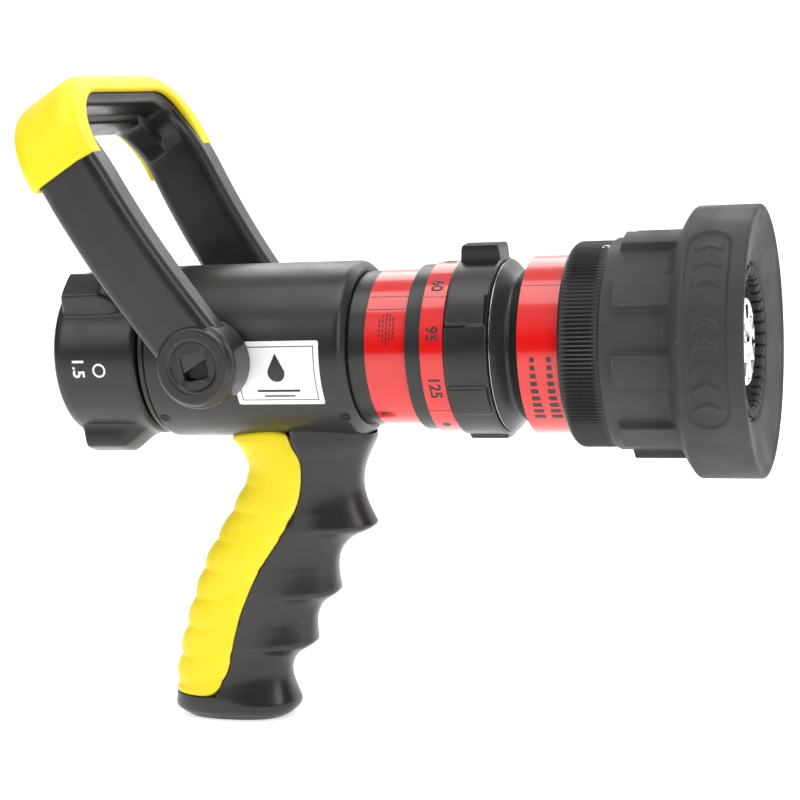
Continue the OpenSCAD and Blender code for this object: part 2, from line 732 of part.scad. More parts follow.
module bumper() color(rubber) {
    difference() {
        turned([[sleeve_out_r + close, knurl_end + 0.1], [pad_base_r, knurl_end + 0.1],
                [pad_base_r, pads_x1 + 0.2], [pad_base_r + 1.4, pads_x1 + 1.8],
                [bumper_r - 4, rim_rear - 0.8], [bumper_r - 1.2, rim_rear + 0.4],
                [bumper_r, rim_rear + 3], [bumper_r, tip_front - 1.5], [bumper_r - 1.5, tip_front],
                [bumper_r - rim_lip, tip_front], [bumper_r - rim_lip - 0.8, tip_front - 0.8],
                [mouth_r + 1, tip_front - 4.2], [mouth_r, tip_front - 4.4],
                [mouth_r, web_front + 0.05], [sleeve_out_r + close, web_front + 0.05]]);
        for (a = [0, 180]) around(a) side_recess();
    }
    for (k = [0:pad_count - 1]) around(360 * k / pad_count - 7) pad();
}

// --------------------------------------------------------------------------------------------

swivel_coupling();
inlet_gasket();
inlet_screen();
swivel_balls();
race_plug();
swivel_o_ring();
valve_body();
rear_seat();
front_seat();
seat_o_rings();
valve_ball();
trunnions();
trunnion_washers();
trunnion_o_rings();
bail();
bail_cover();
bail_set_screws();
side_label();
body_set_screws();
grip();
grip_insert();
grip_bolt();
grip_washer();
grip_screw();
rear_barrel();
barrel_o_ring();
rear_band();
number_band();
selector_ring();
detent_ball();
detent_spring();
detent_screw();
thrust_washer();
front_barrel();
joint_o_ring();
front_band();
stem_guide();
stem();
cam_pins();
baffle_head();
baffle_screw();
glide_ring();
pattern_sleeve();
sleeve_o_ring();
cam_screws();
fog_teeth_ring();
bumper();
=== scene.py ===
"""Looks of the fire hose nozzle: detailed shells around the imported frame, materials, light, camera.

Lengths are in millimetres in the row frame (X along the water axis towards the bumper, Z up) and
are scaled to metres where a mesh is made. Angle phi turns round X: 0 is the near side (-Y), and it
grows upwards.
"""

import functools
import json
import math

import bmesh
import bpy
from mathutils import Matrix, Vector


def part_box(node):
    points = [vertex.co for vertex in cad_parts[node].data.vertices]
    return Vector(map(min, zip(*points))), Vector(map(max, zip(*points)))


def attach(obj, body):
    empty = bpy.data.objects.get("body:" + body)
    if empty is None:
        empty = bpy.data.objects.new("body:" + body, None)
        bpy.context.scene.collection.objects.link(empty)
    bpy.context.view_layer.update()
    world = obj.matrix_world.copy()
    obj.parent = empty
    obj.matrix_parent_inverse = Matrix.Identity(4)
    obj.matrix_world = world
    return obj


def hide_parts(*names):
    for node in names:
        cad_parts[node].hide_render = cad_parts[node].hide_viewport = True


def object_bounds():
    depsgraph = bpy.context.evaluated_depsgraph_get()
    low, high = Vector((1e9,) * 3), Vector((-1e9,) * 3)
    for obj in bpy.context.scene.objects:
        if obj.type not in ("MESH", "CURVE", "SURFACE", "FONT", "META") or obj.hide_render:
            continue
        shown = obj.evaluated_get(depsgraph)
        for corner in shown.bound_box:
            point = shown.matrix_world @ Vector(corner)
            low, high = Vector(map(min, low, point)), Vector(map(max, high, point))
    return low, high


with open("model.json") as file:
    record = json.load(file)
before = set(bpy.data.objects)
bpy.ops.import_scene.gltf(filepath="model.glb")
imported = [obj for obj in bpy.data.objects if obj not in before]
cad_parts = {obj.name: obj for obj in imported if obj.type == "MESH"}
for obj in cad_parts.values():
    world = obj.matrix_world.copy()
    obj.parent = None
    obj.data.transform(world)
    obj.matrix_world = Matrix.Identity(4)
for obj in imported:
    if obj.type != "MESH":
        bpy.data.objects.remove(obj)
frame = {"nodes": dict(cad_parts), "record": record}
cad_low, cad_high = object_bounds()

MM = 0.001
TAU = 2 * math.pi


@functools.cache
def span(node):
    """First station, last station and largest radius of a CAD node, in millimetres."""
    low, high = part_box(node)
    reach = max(abs(low.y), abs(high.y), abs(low.z), abs(high.z))
    return low.x / MM, high.x / MM, reach / MM


# Camera -------------------------------------------------------------

CAMERA_PLACE = (398.3, -755.0, 91.9)
CAMERA_TURN = (19.03, 8.08, -3.17)  # towards the front, downwards, and roll, in degrees
CAMERA_LENS = 90


def make_camera():
    turn, dip, roll = (math.radians(a) for a in CAMERA_TURN)
    look = Vector((-math.sin(turn) * math.cos(dip), math.cos(turn) * math.cos(dip), -math.sin(dip)))
    level = Vector((math.cos(turn), math.sin(turn), 0))
    rise = level.cross(look)
    right = level * math.cos(roll) + rise * math.sin(roll)
    up = rise * math.cos(roll) - level * math.sin(roll)
    data = bpy.data.cameras.new("camera")
    data.lens = CAMERA_LENS
    data.sensor_width = 36
    data.clip_end = 20
    camera = bpy.data.objects.new("camera", data)
    camera.matrix_world = Matrix((right, up, -look)).transposed().to_4x4()
    camera.location = Vector(CAMERA_PLACE) * MM
    bpy.context.scene.collection.objects.link(camera)
    bpy.context.scene.camera = camera


make_camera()


# Materials ----------------------------------------------------------

def new_material(name, color, roughness, **sockets):
    """A principled material with its constant values on the shader's own sockets."""
    mat = bpy.data.materials.new(name)
    mat.use_nodes = True
    shader = mat.node_tree.nodes["Principled BSDF"]
    shader.inputs["Base Color"].default_value = (*color, 1)
    shader.inputs["Roughness"].default_value = roughness
    for key, value in sockets.items():
        shader.inputs[key.replace("_", " ")].default_value = value
    return mat


def parts(mat):
    return mat.node_tree.nodes, mat.node_tree.links, mat.node_tree.nodes["Principled BSDF"]


EVEN = (1, 1, 1)
TURNED = (6, 1, 1)  # stretches noise into rings round X, like lathe marks


def noise(mat, scale, detail=4.0, stretch=EVEN):
    """Noise output over the piece's own coordinates, with scale in features per metre."""
    nodes, links, _ = parts(mat)
    coords = nodes.new("ShaderNodeTexCoord")
    mapping = nodes.new("ShaderNodeMapping")
    mapping.inputs["Scale"].default_value = stretch
    texture = nodes.new("ShaderNodeTexNoise")
    texture.inputs["Scale"].default_value = scale
    texture.inputs["Detail"].default_value = detail
    links.new(coords.outputs["Object"], mapping.inputs["Vector"])
    links.new(mapping.outputs["Vector"], texture.inputs["Vector"])
    return texture.outputs["Fac"]


def spread(mat, source, low, high, start=0.3, stop=0.7):
    """The source's middle range, mapped onto low..high."""
    nodes, links, _ = parts(mat)
    ranger = nodes.new("ShaderNodeMapRange")
    ranger.inputs["From Min"].default_value = start
    ranger.inputs["From Max"].default_value = stop
    ranger.inputs["To Min"].default_value = low
    ranger.inputs["To Max"].default_value = high
    links.new(source, ranger.inputs["Value"])
    return ranger.outputs["Result"]


def vary_roughness(mat, scale, low, high, stretch=EVEN):
    _, links, shader = parts(mat)
    links.new(spread(mat, noise(mat, scale, 5, stretch), low, high), shader.inputs["Roughness"])


def vary_color(mat, scale, first, second, detail=5.0, source=None):
    """Base colour that drifts between two near shades."""
    nodes, links, shader = parts(mat)
    mix = nodes.new("ShaderNodeMix")
    mix.data_type = "RGBA"
    mix.inputs["A"].default_value = (*first, 1)
    mix.inputs["B"].default_value = (*second, 1)
    chosen = source if source is not None else noise(mat, scale, detail)
    links.new(spread(mat, chosen, 0, 1), mix.inputs["Factor"])
    links.new(mix.outputs["Result"], shader.inputs["Base Color"])
    return mix


def grain(mat, layers):
    """Bump from noise layers of (features per metre, depth in mm, stretch)."""
    nodes, links, shader = parts(mat)
    last = None
    for scale, depth, stretch in layers:
        bump = nodes.new("ShaderNodeBump")
        bump.inputs["Distance"].default_value = depth * MM
        bump.inputs["Strength"].default_value = 1
        links.new(noise(mat, scale, 3, stretch), bump.inputs["Height"])
        if last is not None:
            links.new(last, bump.inputs["Normal"])
        last = bump.outputs["Normal"]
    links.new(last, shader.inputs["Normal"])


def wear_and_highlit_edges(mat, mix, edge_colour, amount):
    """Edges painted a little lighter than the colour mix, by how convex the surface is: partly rubbed
    wear, partly a painted highlight along the edges.
    """
    nodes, links, shader = parts(mat)
    geometry = nodes.new("ShaderNodeNewGeometry")
    edge = spread(mat, geometry.outputs["Pointiness"], 0, amount, 0.53, 0.62)
    # the lighter edge colour is partly wear and partly a painted highlight standing for light caught on
    # the edges
    rub_and_highlight = nodes.new("ShaderNodeMix")
    rub_and_highlight.data_type = "RGBA"
    links.new(edge, rub_and_highlight.inputs["Factor"])
    links.new(mix.outputs["Result"], rub_and_highlight.inputs["A"])
    rub_and_highlight.inputs["B"].default_value = (*edge_colour, 1)
    links.new(rub_and_highlight.outputs["Result"], shader.inputs["Base Color"])


def make_anodised():
    mat = new_material("black_anodised", (0.010, 0.009, 0.009), 0.32, Specular_IOR_Level=0.42,
                       Coat_Weight=0.12, Coat_Roughness=0.2)
    mix = vary_color(mat, 35, (0.0075, 0.007, 0.007), (0.013, 0.012, 0.0115))
    wear_and_highlit_edges(mat, mix, (0.06, 0.057, 0.054), 0.5)
    vary_roughness(mat, 60, 0.28, 0.42)
    grain(mat, [(900, 0.006, TURNED), (3500, 0.004, EVEN)])
    return mat


def make_nylon():
    mat = new_material("black_nylon", (0.013, 0.011, 0.011), 0.32, Specular_IOR_Level=0.42,
                       Coat_Weight=0.2, Coat_Roughness=0.16)
    mix = vary_color(mat, 30, (0.0105, 0.009, 0.0088), (0.018, 0.0155, 0.015))
    wear_and_highlit_edges(mat, mix, (0.06, 0.057, 0.054), 0.35)
    vary_roughness(mat, 90, 0.27, 0.42)
    grain(mat, [(1500, 0.01, EVEN), (220, 0.03, EVEN)])
    return mat


def make_bumper_rubber():
    mat = new_material("bumper_rubber", (0.038, 0.0345, 0.035), 0.6, Specular_IOR_Level=0.36)
    mix = vary_color(mat, 28, (0.030, 0.027, 0.0275), (0.046, 0.042, 0.0425))
    wear_and_highlit_edges(mat, mix, (0.085, 0.08, 0.078), 0.7)
    vary_roughness(mat, 70, 0.52, 0.72)
    grain(mat, [(1900, 0.018, EVEN), (350, 0.03, EVEN)])
    return mat


def make_plain(name, color, roughness, low, high, scale, layers):
    mat = new_material(name, color, roughness)
    vary_color(mat, scale, low, high)
    grain(mat, layers)
    return mat


def make_seal():
    return make_plain("seal_rubber", (0.012, 0.012, 0.012), 0.5, (0.009, 0.009, 0.009),
                      (0.018, 0.018, 0.018), 200, [(2500, 0.008, EVEN)])


def make_yellow():
    mat = new_material("yellow_soft", (0.88, 0.70, 0.008), 0.44, Specular_IOR_Level=0.36,
                       Subsurface_Weight=0.06, Subsurface_Scale=0.004)
    mix = vary_color(mat, 22, (0.85, 0.66, 0.005), (0.90, 0.73, 0.011))
    wear_and_highlit_edges(mat, mix, (0.92, 0.82, 0.12), 0.6)
    vary_roughness(mat, 80, 0.38, 0.54)
    grain(mat, [(2200, 0.012, EVEN), (180, 0.03, EVEN)])
    return mat


def make_red_film():
    mat = new_material("red_film", (0.62, 0.002, 0.002), 0.22, Specular_IOR_Level=0.5,
                       Coat_Weight=0.6, Coat_Roughness=0.05)
    vary_color(mat, 26, (0.60, 0.0015, 0.0015), (0.66, 0.004, 0.003))
    vary_roughness(mat, 50, 0.18, 0.28)
    grain(mat, [(140, 0.012, EVEN), (2600, 0.002, EVEN)])
    return mat


def make_ink(name, color, roughness):
    lighter = tuple(min(1, c * 1.15 + 0.004) for c in color)
    return make_plain(name, color, roughness, color, lighter, 400, [(3000, 0.003, EVEN)])


def make_white_label():
    mat = new_material("white_label", (0.86, 0.86, 0.85), 0.34, Coat_Weight=0.4, Coat_Roughness=0.15)
    vary_color(mat, 60, (0.83, 0.83, 0.82), (0.89, 0.89, 0.885))
    grain(mat, [(160, 0.01, EVEN), (3000, 0.002, EVEN)])
    return mat


def make_plastic():
    return make_plain("seat_plastic", (0.80, 0.79, 0.74), 0.42, (0.77, 0.76, 0.71),
                      (0.83, 0.82, 0.78), 60, [(1400, 0.005, TURNED)])


def make_metal(name, color, low, high, depth):
    mat = new_material(name, color, (low + high) / 2, Metallic=1.0)
    darker = tuple(c * 0.9 for c in color)
    vary_color(mat, 90, darker, color)
    vary_roughness(mat, 300, low, high, TURNED)
    grain(mat, [(1600, depth, TURNED)])
    return mat


# flat black material laid where a hole would lie in shade: painted shade, not a colour of the body
def make_painted_hole_shade():
    return make_plain("hole_shade_black", (0.004, 0.004, 0.004), 0.7, (0.003, 0.003, 0.003),
                      (0.007, 0.007, 0.007), 300, [(2000, 0.01, EVEN)])


SLOT_MATERIALS = {
    "black_anodised": make_anodised(),
    "black_nylon": make_nylon(),
    "bumper_rubber": make_bumper_rubber(),
    "seal_rubber": make_seal(),
    "yellow_soft": make_yellow(),
    "red_film": make_red_film(),
    "white_label": make_white_label(),
    "seat_plastic": make_plastic(),
    "stainless": make_metal("stainless", (0.58, 0.575, 0.565), 0.22, 0.36, 0.004),
    "bright_aluminium": make_metal("bright_aluminium", (0.42, 0.42, 0.42), 0.2, 0.32, 0.004),
    "baffle_chrome": make_metal("baffle_chrome", (0.83, 0.83, 0.84), 0.05, 0.13, 0.0015),
}
BLACK_INK = make_ink("black_ink", (0.012, 0.011, 0.011), 0.4)
WHITE_INK = make_ink("white_ink", (0.82, 0.82, 0.80), 0.45)
BAND_INK = make_ink("band_ink", (0.035, 0.004, 0.004), 0.3)
OXIDE = make_metal("black_oxide", (0.035, 0.033, 0.032), 0.3, 0.42, 0.004)
HOLE_SHADE = make_painted_hole_shade()


def dress_cad_nodes():
    """Gives every CAD node the material of its slot; the trunnions' ends are blackened."""
    for row in frame["record"]["subparts"]:
        node = frame["nodes"][row["node"]]
        node.data.materials.clear()
        node.data.materials.append(SLOT_MATERIALS[row["material_slot"]])
    frame["nodes"]["trunnions"].data.materials[0] = OXIDE


dress_cad_nodes()


# Mesh helpers -------------------------------------------------------

def smooth01(t):
    t = min(1.0, max(0.0, t))
    return t * t * (3 - 2 * t)


def bump_up(value, start, stop, blend):
    """1 between start and stop, easing to 0 over blend outside them."""
    return smooth01((value - start) / blend + 1) * smooth01((stop - value) / blend + 1)


def ease(t):
    return (1 - math.cos(math.pi * min(1.0, max(0.0, t)))) / 2


def mix(a, b, t):
    return a + (b - a) * t


def angle_gap(a, b):
    """Signed smallest turn from b to a, in radians."""
    return (a - b + math.pi) % TAU - math.pi


def sawtooth(phi, count):
    """Wave of count even slopes round a turn: 0 in the middle of each tooth, 1 between teeth."""
    return abs((phi * count / TAU) % 1 - 0.5) * 2


def through(pts, p):
    """Smooth curve through (position, value) pairs with rising positions."""
    i = 0
    while i < len(pts) - 2 and p > pts[i + 1][0]:
        i += 1

    def slope(k):
        a, b = max(0, k - 1), min(len(pts) - 1, k + 1)
        return (pts[b][1] - pts[a][1]) / (pts[b][0] - pts[a][0])

    h = pts[i + 1][0] - pts[i][0]
    t = (p - pts[i][0]) / h
    u = 1 - t
    return (pts[i][1] * (1 + 2 * t) * u * u + slope(i) * h * t * u * u
            + pts[i + 1][1] * (3 - 2 * t) * t * t - slope(i + 1) * h * t * t * u)


def softened(points, radius, closed=True, arc=4):
    """The outline with each corner cut to a round of the radius, or of the point's own third value."""
    out = []
    n = len(points)
    for i, point in enumerate(points):
        here = Vector(point[:2])
        if not closed and i in (0, n - 1):
            out.append(tuple(here))
            continue
        before, after = Vector(points[i - 1][:2]), Vector(points[(i + 1) % n][:2])
        a, b = before - here, after - here
        reach = point[2] if len(point) > 2 else radius
        reach = min(reach, a.length * 0.45, b.length * 0.45)
        straight = a.length < 1e-9 or b.length < 1e-9 or a.normalized().dot(b.normalized()) < -0.995
        if reach < 1e-3 or straight:
            out.append(tuple(here))
            continue
        first, last = here + a.normalized() * reach, here + b.normalized() * reach
        for k in range(arc + 1):
            t = k / arc
            out.append(tuple(first * (1 - t) ** 2 + here * 2 * t * (1 - t) + last * t * t))
    return out


def divided(points, step, closed=True):
    """The outline with no stretch longer than step."""
    out = []
    n = len(points)
    for i in range(n if closed else n - 1):
        a, b = Vector(points[i]), Vector(points[(i + 1) % n])
        count = max(1, math.ceil((b - a).length / step))
        out += [tuple(a.lerp(b, k / count)) for k in range(count)]
    if not closed:
        out.append(tuple(points[-1]))
    return out


def place(name, mesh, body, slot, mat=None):
    """Puts a mesh in the scene as a piece that rides on its body, in its slot's material or mat."""
    mesh.materials.append(mat or SLOT_MATERIALS[slot])
    piece = bpy.data.objects.new(name, mesh)
    bpy.context.scene.collection.objects.link(piece)
    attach(piece, body)
    return piece


def finish_mesh(name, skin, body, slot, replaces=(), sharp=42, weighted=True):
    """Makes a shaded piece from a skin: its points in millimetres, and its faces."""
    verts, faces = skin
    mesh = bpy.data.meshes.new(name)
    mesh.from_pydata([tuple(c * MM for c in v) for v in verts], [], faces)
    bm = bmesh.new()
    bm.from_mesh(mesh)
    bmesh.ops.remove_doubles(bm, verts=bm.verts, dist=1e-7)
    bmesh.ops.recalc_face_normals(bm, faces=bm.faces)
    bm.to_mesh(mesh)
    bm.free()
    mesh.polygons.foreach_set("use_smooth", [True] * len(mesh.polygons))
    mesh.set_sharp_from_angle(angle=math.radians(sharp))
    piece = place(name, mesh, body, slot)
    if weighted:
        weigher = piece.modifiers.new("normals", "WEIGHTED_NORMAL")
        weigher.keep_sharp = True
    if replaces:
        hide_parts(*replaces)
    return piece


def tile(rows, closed_rows, closed_rings):
    """Points and quads over rows of rings that all hold the same number of points."""
    m, n = len(rows), len(rows[0])
    faces = []
    for i in range(m if closed_rows else m - 1):
        for j in range(n if closed_rings else n - 1):
            a, b = i * n, (i + 1) % m * n
            k = (j + 1) % n
            faces.append((a + j, a + k, b + k, b + j))
    return [p for row in rows for p in row], faces


def at_phi(x, r, phi):
    return (x, -r * math.cos(phi), r * math.sin(phi))


def turned_piece(name, outline, body, slot, replaces=(), segments=256, radius=0.4, step=None,
                 shape=None, sharp=42):
    """A closed outline of (station, radius) turned round X; shape moves each point's radius."""
    profile = softened(outline, radius)
    if step:
        profile = divided(profile, step)
    rows = []
    for k in range(segments):
        phi = TAU * k / segments
        rows.append([at_phi(x, shape(x, r, phi) if shape else r, phi) for x, r in profile])
    return finish_mesh(name, tile(rows, True, True), body, slot, replaces, sharp)


def capped(rings):
    """Points and faces of a skin over rings, closed by a flat fan at each end."""
    verts, faces = tile(rings, False, True)
    n = len(rings[0])
    for first in (0, (len(rings) - 1) * n):
        middle = tuple(sum(p[c] for p in verts[first:first + n]) / n for c in range(3))
        verts.append(middle)
        hub = len(verts) - 1
        faces += [(first + j, first + (j + 1) % n, hub) for j in range(n)]
    return verts, faces


def channel(rings):
    """Points and faces of a thin-walled skin, whose rings run out along one face and back along
    the other, closed by a strip of quads at each end."""
    verts, faces = tile(rings, False, True)
    n = len(rings[0])
    for first in (0, (len(rings) - 1) * n):
        for j in range(n // 2 - 1):
            k = n - 1 - j
            faces.append((first + j, first + j + 1, first + k - 1, first + k))
    return verts, faces


# Printed marks ------------------------------------------------------

BEND_STEP = 1.2
BEND_POINTS = 6000


def wrapped(name, flat, station, phi, radius, body, slot, mat=None, turn=0.0, height=0.05):
    """Bends a flat mesh, drawn in millimetres, onto a cylinder round X, as a printed mark.

    With no turn its first axis runs along X and its second runs up round the cylinder.
    """
    bm = bmesh.new()
    bm.from_mesh(flat)
    bmesh.ops.triangulate(bm, faces=bm.faces)
    long_edges = [e for e in bm.edges if e.calc_length() > BEND_STEP]
    while long_edges and len(bm.verts) < BEND_POINTS:
        bmesh.ops.subdivide_edges(bm, edges=long_edges, cuts=1)
        bmesh.ops.triangulate(bm, faces=bm.faces)
        long_edges = [e for e in bm.edges if e.calc_length() > BEND_STEP]
    top = bmesh.ops.extrude_face_region(bm, geom=bm.faces[:])
    for v in top["geom"]:
        if isinstance(v, bmesh.types.BMVert):
            v.co.z = height
    turner = Matrix.Rotation(turn, 3, "Z")
    for v in bm.verts:
        p = turner @ v.co
        v.co = Vector(at_phi(station + p.x, radius + v.co.z, phi + p.y / radius)) * MM
    bmesh.ops.recalc_face_normals(bm, faces=bm.faces)
    mesh = bpy.data.meshes.new(name)
    bm.to_mesh(mesh)
    bm.free()
    return place(name, mesh, body, slot, mat)


BOLD = 0.022  # how far the outlines of printed numbers grow, as a share of their size


def text_mesh(words, size):
    """Flat mesh of dial numbers, centred on the origin."""
    curve = bpy.data.curves.new("numbers", "FONT")
    curve.body = words
    curve.size = size
    curve.align_x = "CENTER"
    curve.align_y = "CENTER"
    curve.resolution_u = 4
    curve.offset = size * BOLD
    holder = bpy.data.objects.new("numbers", curve)
    bpy.context.scene.collection.objects.link(holder)
    bpy.context.view_layer.update()
    mesh = bpy.data.meshes.new_from_object(holder.evaluated_get(bpy.context.evaluated_depsgraph_get()))
    bpy.data.objects.remove(holder)
    return mesh


def flat_mesh(shapes):
    """Flat mesh of polygons of (x, y) points."""
    verts, faces = [], []
    for shape in shapes:
        faces.append(tuple(range(len(verts), len(verts) + len(shape))))
        verts += [(x, y, 0) for x, y in shape]
    mesh = bpy.data.meshes.new("flat")
    mesh.from_pydata(verts, [], faces)
    return mesh


def bar(x0, x1, y0, y1):
    return [(x0, y0), (x1, y0), (x1, y1), (x0, y1)]


def disc(radius, n):
    return [(radius * math.cos(TAU * k / n), radius * math.sin(TAU * k / n)) for k in range(n)]


def ring_shapes(outer, inner, n):
    """A flat ring as n quads."""
    wide, narrow = disc(outer, n), disc(inner, n)
    return [[wide[k - n], wide[k + 1 - n], narrow[k + 1 - n], narrow[k - n]] for k in range(n)]


# Inlet --------------------------------------------------------------

COUPLING_R = 34.2
LUG_R = 41.8
LUG_PHIS = [math.radians(a) for a in (49, 169, 289)]
THREAD_R = 24.2
THREAD_PITCH = 2.82
THREAD_DEPTH = 1.1
GASKET_STEP = 13.0
GASKET_END = 17.2
GASKET_R = 26.2
SWIVEL_R = 26.96  # bore that turns on the neck of the valve body


def coupling_shape(x, r, phi):
    """Rocker lugs on the outside, and the hose thread in the mouth."""
    if r < THREAD_R + 0.3 and 1.0 < x < GASKET_STEP - 0.3:
        wave = abs((x / THREAD_PITCH - phi / TAU) % 1 - 0.5) * 2
        return r + THREAD_DEPTH * smooth01(wave * 1.6 - 0.3)
    if r < COUPLING_R - 3.5:
        return r
    lift = 0.0
    along = smooth01((x - 3.0) / 3.0) * (1 - smooth01((x - 21.0) / 13.0))
    for centre in LUG_PHIS:
        across = abs(angle_gap(phi, centre)) * COUPLING_R
        lift = max(lift, 1 - smooth01((across - 4.6) / 5.4))
    return r + (LUG_R - COUPLING_R) * lift * along


def make_coupling():
    start, end, _ = span("swivel_coupling")
    r = COUPLING_R
    outline = [(start, THREAD_R + 1.2), (start, r - 2.9), (start + 1.6, r - 0.8), (start + 4.6, r, 1.5),
               (end - 1.4, r), (end, r - 1.1), (end, SWIVEL_R), (GASKET_END, SWIVEL_R),
               (GASKET_END, GASKET_R), (GASKET_STEP, GASKET_R), (GASKET_STEP, THREAD_R),
               (start + 1.2, THREAD_R)]
    turned_piece("swivel_shell", outline, "inlet_swivel", "black_anodised", ["swivel_coupling"],
                 segments=360, radius=0.7, step=0.7, shape=coupling_shape)


# Valve body ---------------------------------------------------------

BODY_R = 35.3
WATERWAY_R = 19.0
NECK_START = 17.3
NECK_END = 38.6
NECK_R = 26.9
CHAMBER_START = 48.0  # the bore that holds the ball and its seats
CHAMBER_R = 25.6
SCREW_PLACES = [(123.5, math.radians(-43.5)), (45.4, math.radians(-43.8))]  # station and phi
PIT_R = 2.3
PIT_HEIGHT = 0.03
SCREW_R = 2.0
SCREW_SOCKET_R = 1.25


def make_valve_body():
    _, front, _ = span("valve_body")
    r = BODY_R
    shoulder = NECK_END + 4.1
    outline = [(NECK_START, WATERWAY_R), (NECK_START, NECK_R), (NECK_END, NECK_R), (NECK_END, r - 2.7),
               (NECK_END + 0.6, r - 1.4), (shoulder - 1.8, r - 1.4), (shoulder - 1.3, r - 2.1),
               (shoulder - 0.5, r - 2.1), (shoulder, r, 0.5), (front - 2.6, r, 1.6),
               (front, r - 2.8, 1.0), (front, r - 3.9), (front - 1.0, CHAMBER_R),
               (CHAMBER_START, CHAMBER_R), (CHAMBER_START, WATERWAY_R)]
    turned_piece("valve_body_shell", outline, "valve_body", "black_anodised", ["valve_body"],
                 radius=0.35)
    for k, (x, phi) in enumerate(SCREW_PLACES):
        # a thin black disc under each screw rim paints the shade of the screw's socket and of the gap
        # round its head
        wrapped("screw_pit_shade_%d" % k, flat_mesh([disc(PIT_R, 32)]), x, phi, BODY_R, "valve_body",
                "black_anodised", HOLE_SHADE, height=PIT_HEIGHT)
        rim = ring_shapes(SCREW_R, SCREW_SOCKET_R, 24)
        wrapped("screw_rim_%d" % k, flat_mesh(rim), x, phi, BODY_R + PIT_HEIGHT, "valve_body",
                "stainless", OXIDE, height=0.12)


# Bail ---------------------------------------------------------------

PIVOT_X = 72.0
BAIL_LEAN = math.radians(30)
BAIL_REACH = 118.0
CORNER_R = 23.0
ARM_TOP_Y = 51.0
ARM_FOOT_Y = 43.8
ARM_W = 25.0
BOSS_Y = 54.0
BOSS_R = 17.0
BOSS_IN_Y = 36.4
COVER_T = 3.0
COVER_GAP = 0.12
COVER_FOOT = 88.0


def from_bail(forward, y, height):
    """A point of the bail's own frame, in the row frame."""
    c, s = math.cos(BAIL_LEAN), math.sin(BAIL_LEAN)
    return (PIVOT_X + forward * c - height * s, y, height * c + forward * s)


def half_line(arm_steps, corner_steps, bar_steps, first=0.0):
    """Middle line of half the bail: (y, height, angle, share of the crossbar)."""
    top = BAIL_REACH - CORNER_R
    stops = [(mix(ARM_FOOT_Y, ARM_TOP_Y, i / arm_steps), top * i / arm_steps, 0.0, 0.0)
             for i in range(arm_steps)]
    for i in range(corner_steps + 1):
        a = math.pi / 2 * i / corner_steps
        stops.append((ARM_TOP_Y - CORNER_R + CORNER_R * math.cos(a), top + CORNER_R * math.sin(a), a,
                      ease(i / corner_steps)))
    stops += [((ARM_TOP_Y - CORNER_R) * (1 - i / bar_steps), BAIL_REACH, math.pi / 2, 1.0)
              for i in range(1, bar_steps + 1)]
    return [stop for stop in stops if stop[1] >= first]


def whole_line(*steps, first=0.0):
    half = half_line(*steps, first)
    return [(stop, 1) for stop in half] + [(stop, -1) for stop in reversed(half[:-1])]


def bow(height):
    """How far the arms bend back at a height."""
    return -4 * math.sin(math.pi * min(1.0, max(0.0, height / (BAIL_REACH + 4))))


def round_section(a, b, r, k=6):
    """Rounded rectangle of half sizes a (through the bar) and b (fore and aft)."""
    points = []
    for q in range(4):
        sx = 1 if q in (0, 3) else -1
        sy = 1 if q < 2 else -1
        for i in range(k + 1):
            t = math.pi / 2 * (q + i / k)
            points.append((sx * (a - r) + r * math.cos(t), sy * (b - r) + r * math.sin(t)))
    return points


def across(section, stop, side):
    y, height, angle, _ = stop
    return [from_bail(fore + bow(height), side * (y + out * math.cos(angle)),
                      height + out * math.sin(angle)) for out, fore in section]


def bar_half(stop):
    """Half thickness and half width of the bail's bar at a stop."""
    arm_half = mix(7.3, 8.3, min(1.0, stop[1] / (BAIL_REACH - CORNER_R)))
    return mix(arm_half, 5, stop[3]), ARM_W / 2 + stop[3]


LEDGE_DEPTH = 2.6
INNER_SWELL = 3.2
FRONT_SWELL = 3.4
SWELL_BLEND = 34
BAR_ROUND = 4.6


def bar_section(stop):
    """Bar section: a mould line outside, and under the hand a deeper ledge along the rear half.

    The front edge grows fuller towards the middle of each arm.
    """
    a, b = bar_half(stop)
    points = round_section(a, b, BAR_ROUND)
    k = len(points) // 4
    swell = INNER_SWELL * math.sin(2 * stop[2])
    low = []
    for out, fore in points[2 * k:3 * k]:
        share = smooth01((out + a) / -a + 1)
        low.append((out - share * (LEDGE_DEPTH * stop[3] + swell), fore))
    drop = LEDGE_DEPTH * stop[3] + swell
    step = [(-a, 1.6), (-a - drop * 0.5, 0.6), (-a - drop, -0.6)]
    mould_line = [(a, -0.4), (a + 0.16, 0.0), (a, 0.4)]
    outline = mould_line + points[:2 * k] + step + low + points[3 * k:]
    full = FRONT_SWELL * bump_up(stop[1], 8, COVER_FOOT - 6, SWELL_BLEND)
    return [(out, fore + full * smooth01(fore / b)) for out, fore in outline]


def make_bail_arms():
    rings = [across(bar_section(stop), stop, side) for stop, side in whole_line(14, 18, 8)]
    finish_mesh("bail_bar", capped(rings), "bail_and_ball", "black_nylon", ["bail"], sharp=50)


def square_point(t, half):
    """Point of a rounded square of the half width, at angle t."""
    c, s = math.cos(t), math.sin(t)
    k = half / (abs(c) ** 7 + abs(s) ** 7) ** (1 / 7)
    return k * c, k * s


SQUARE_HALF = 5.3
SQUARE_TURN = math.radians(10)


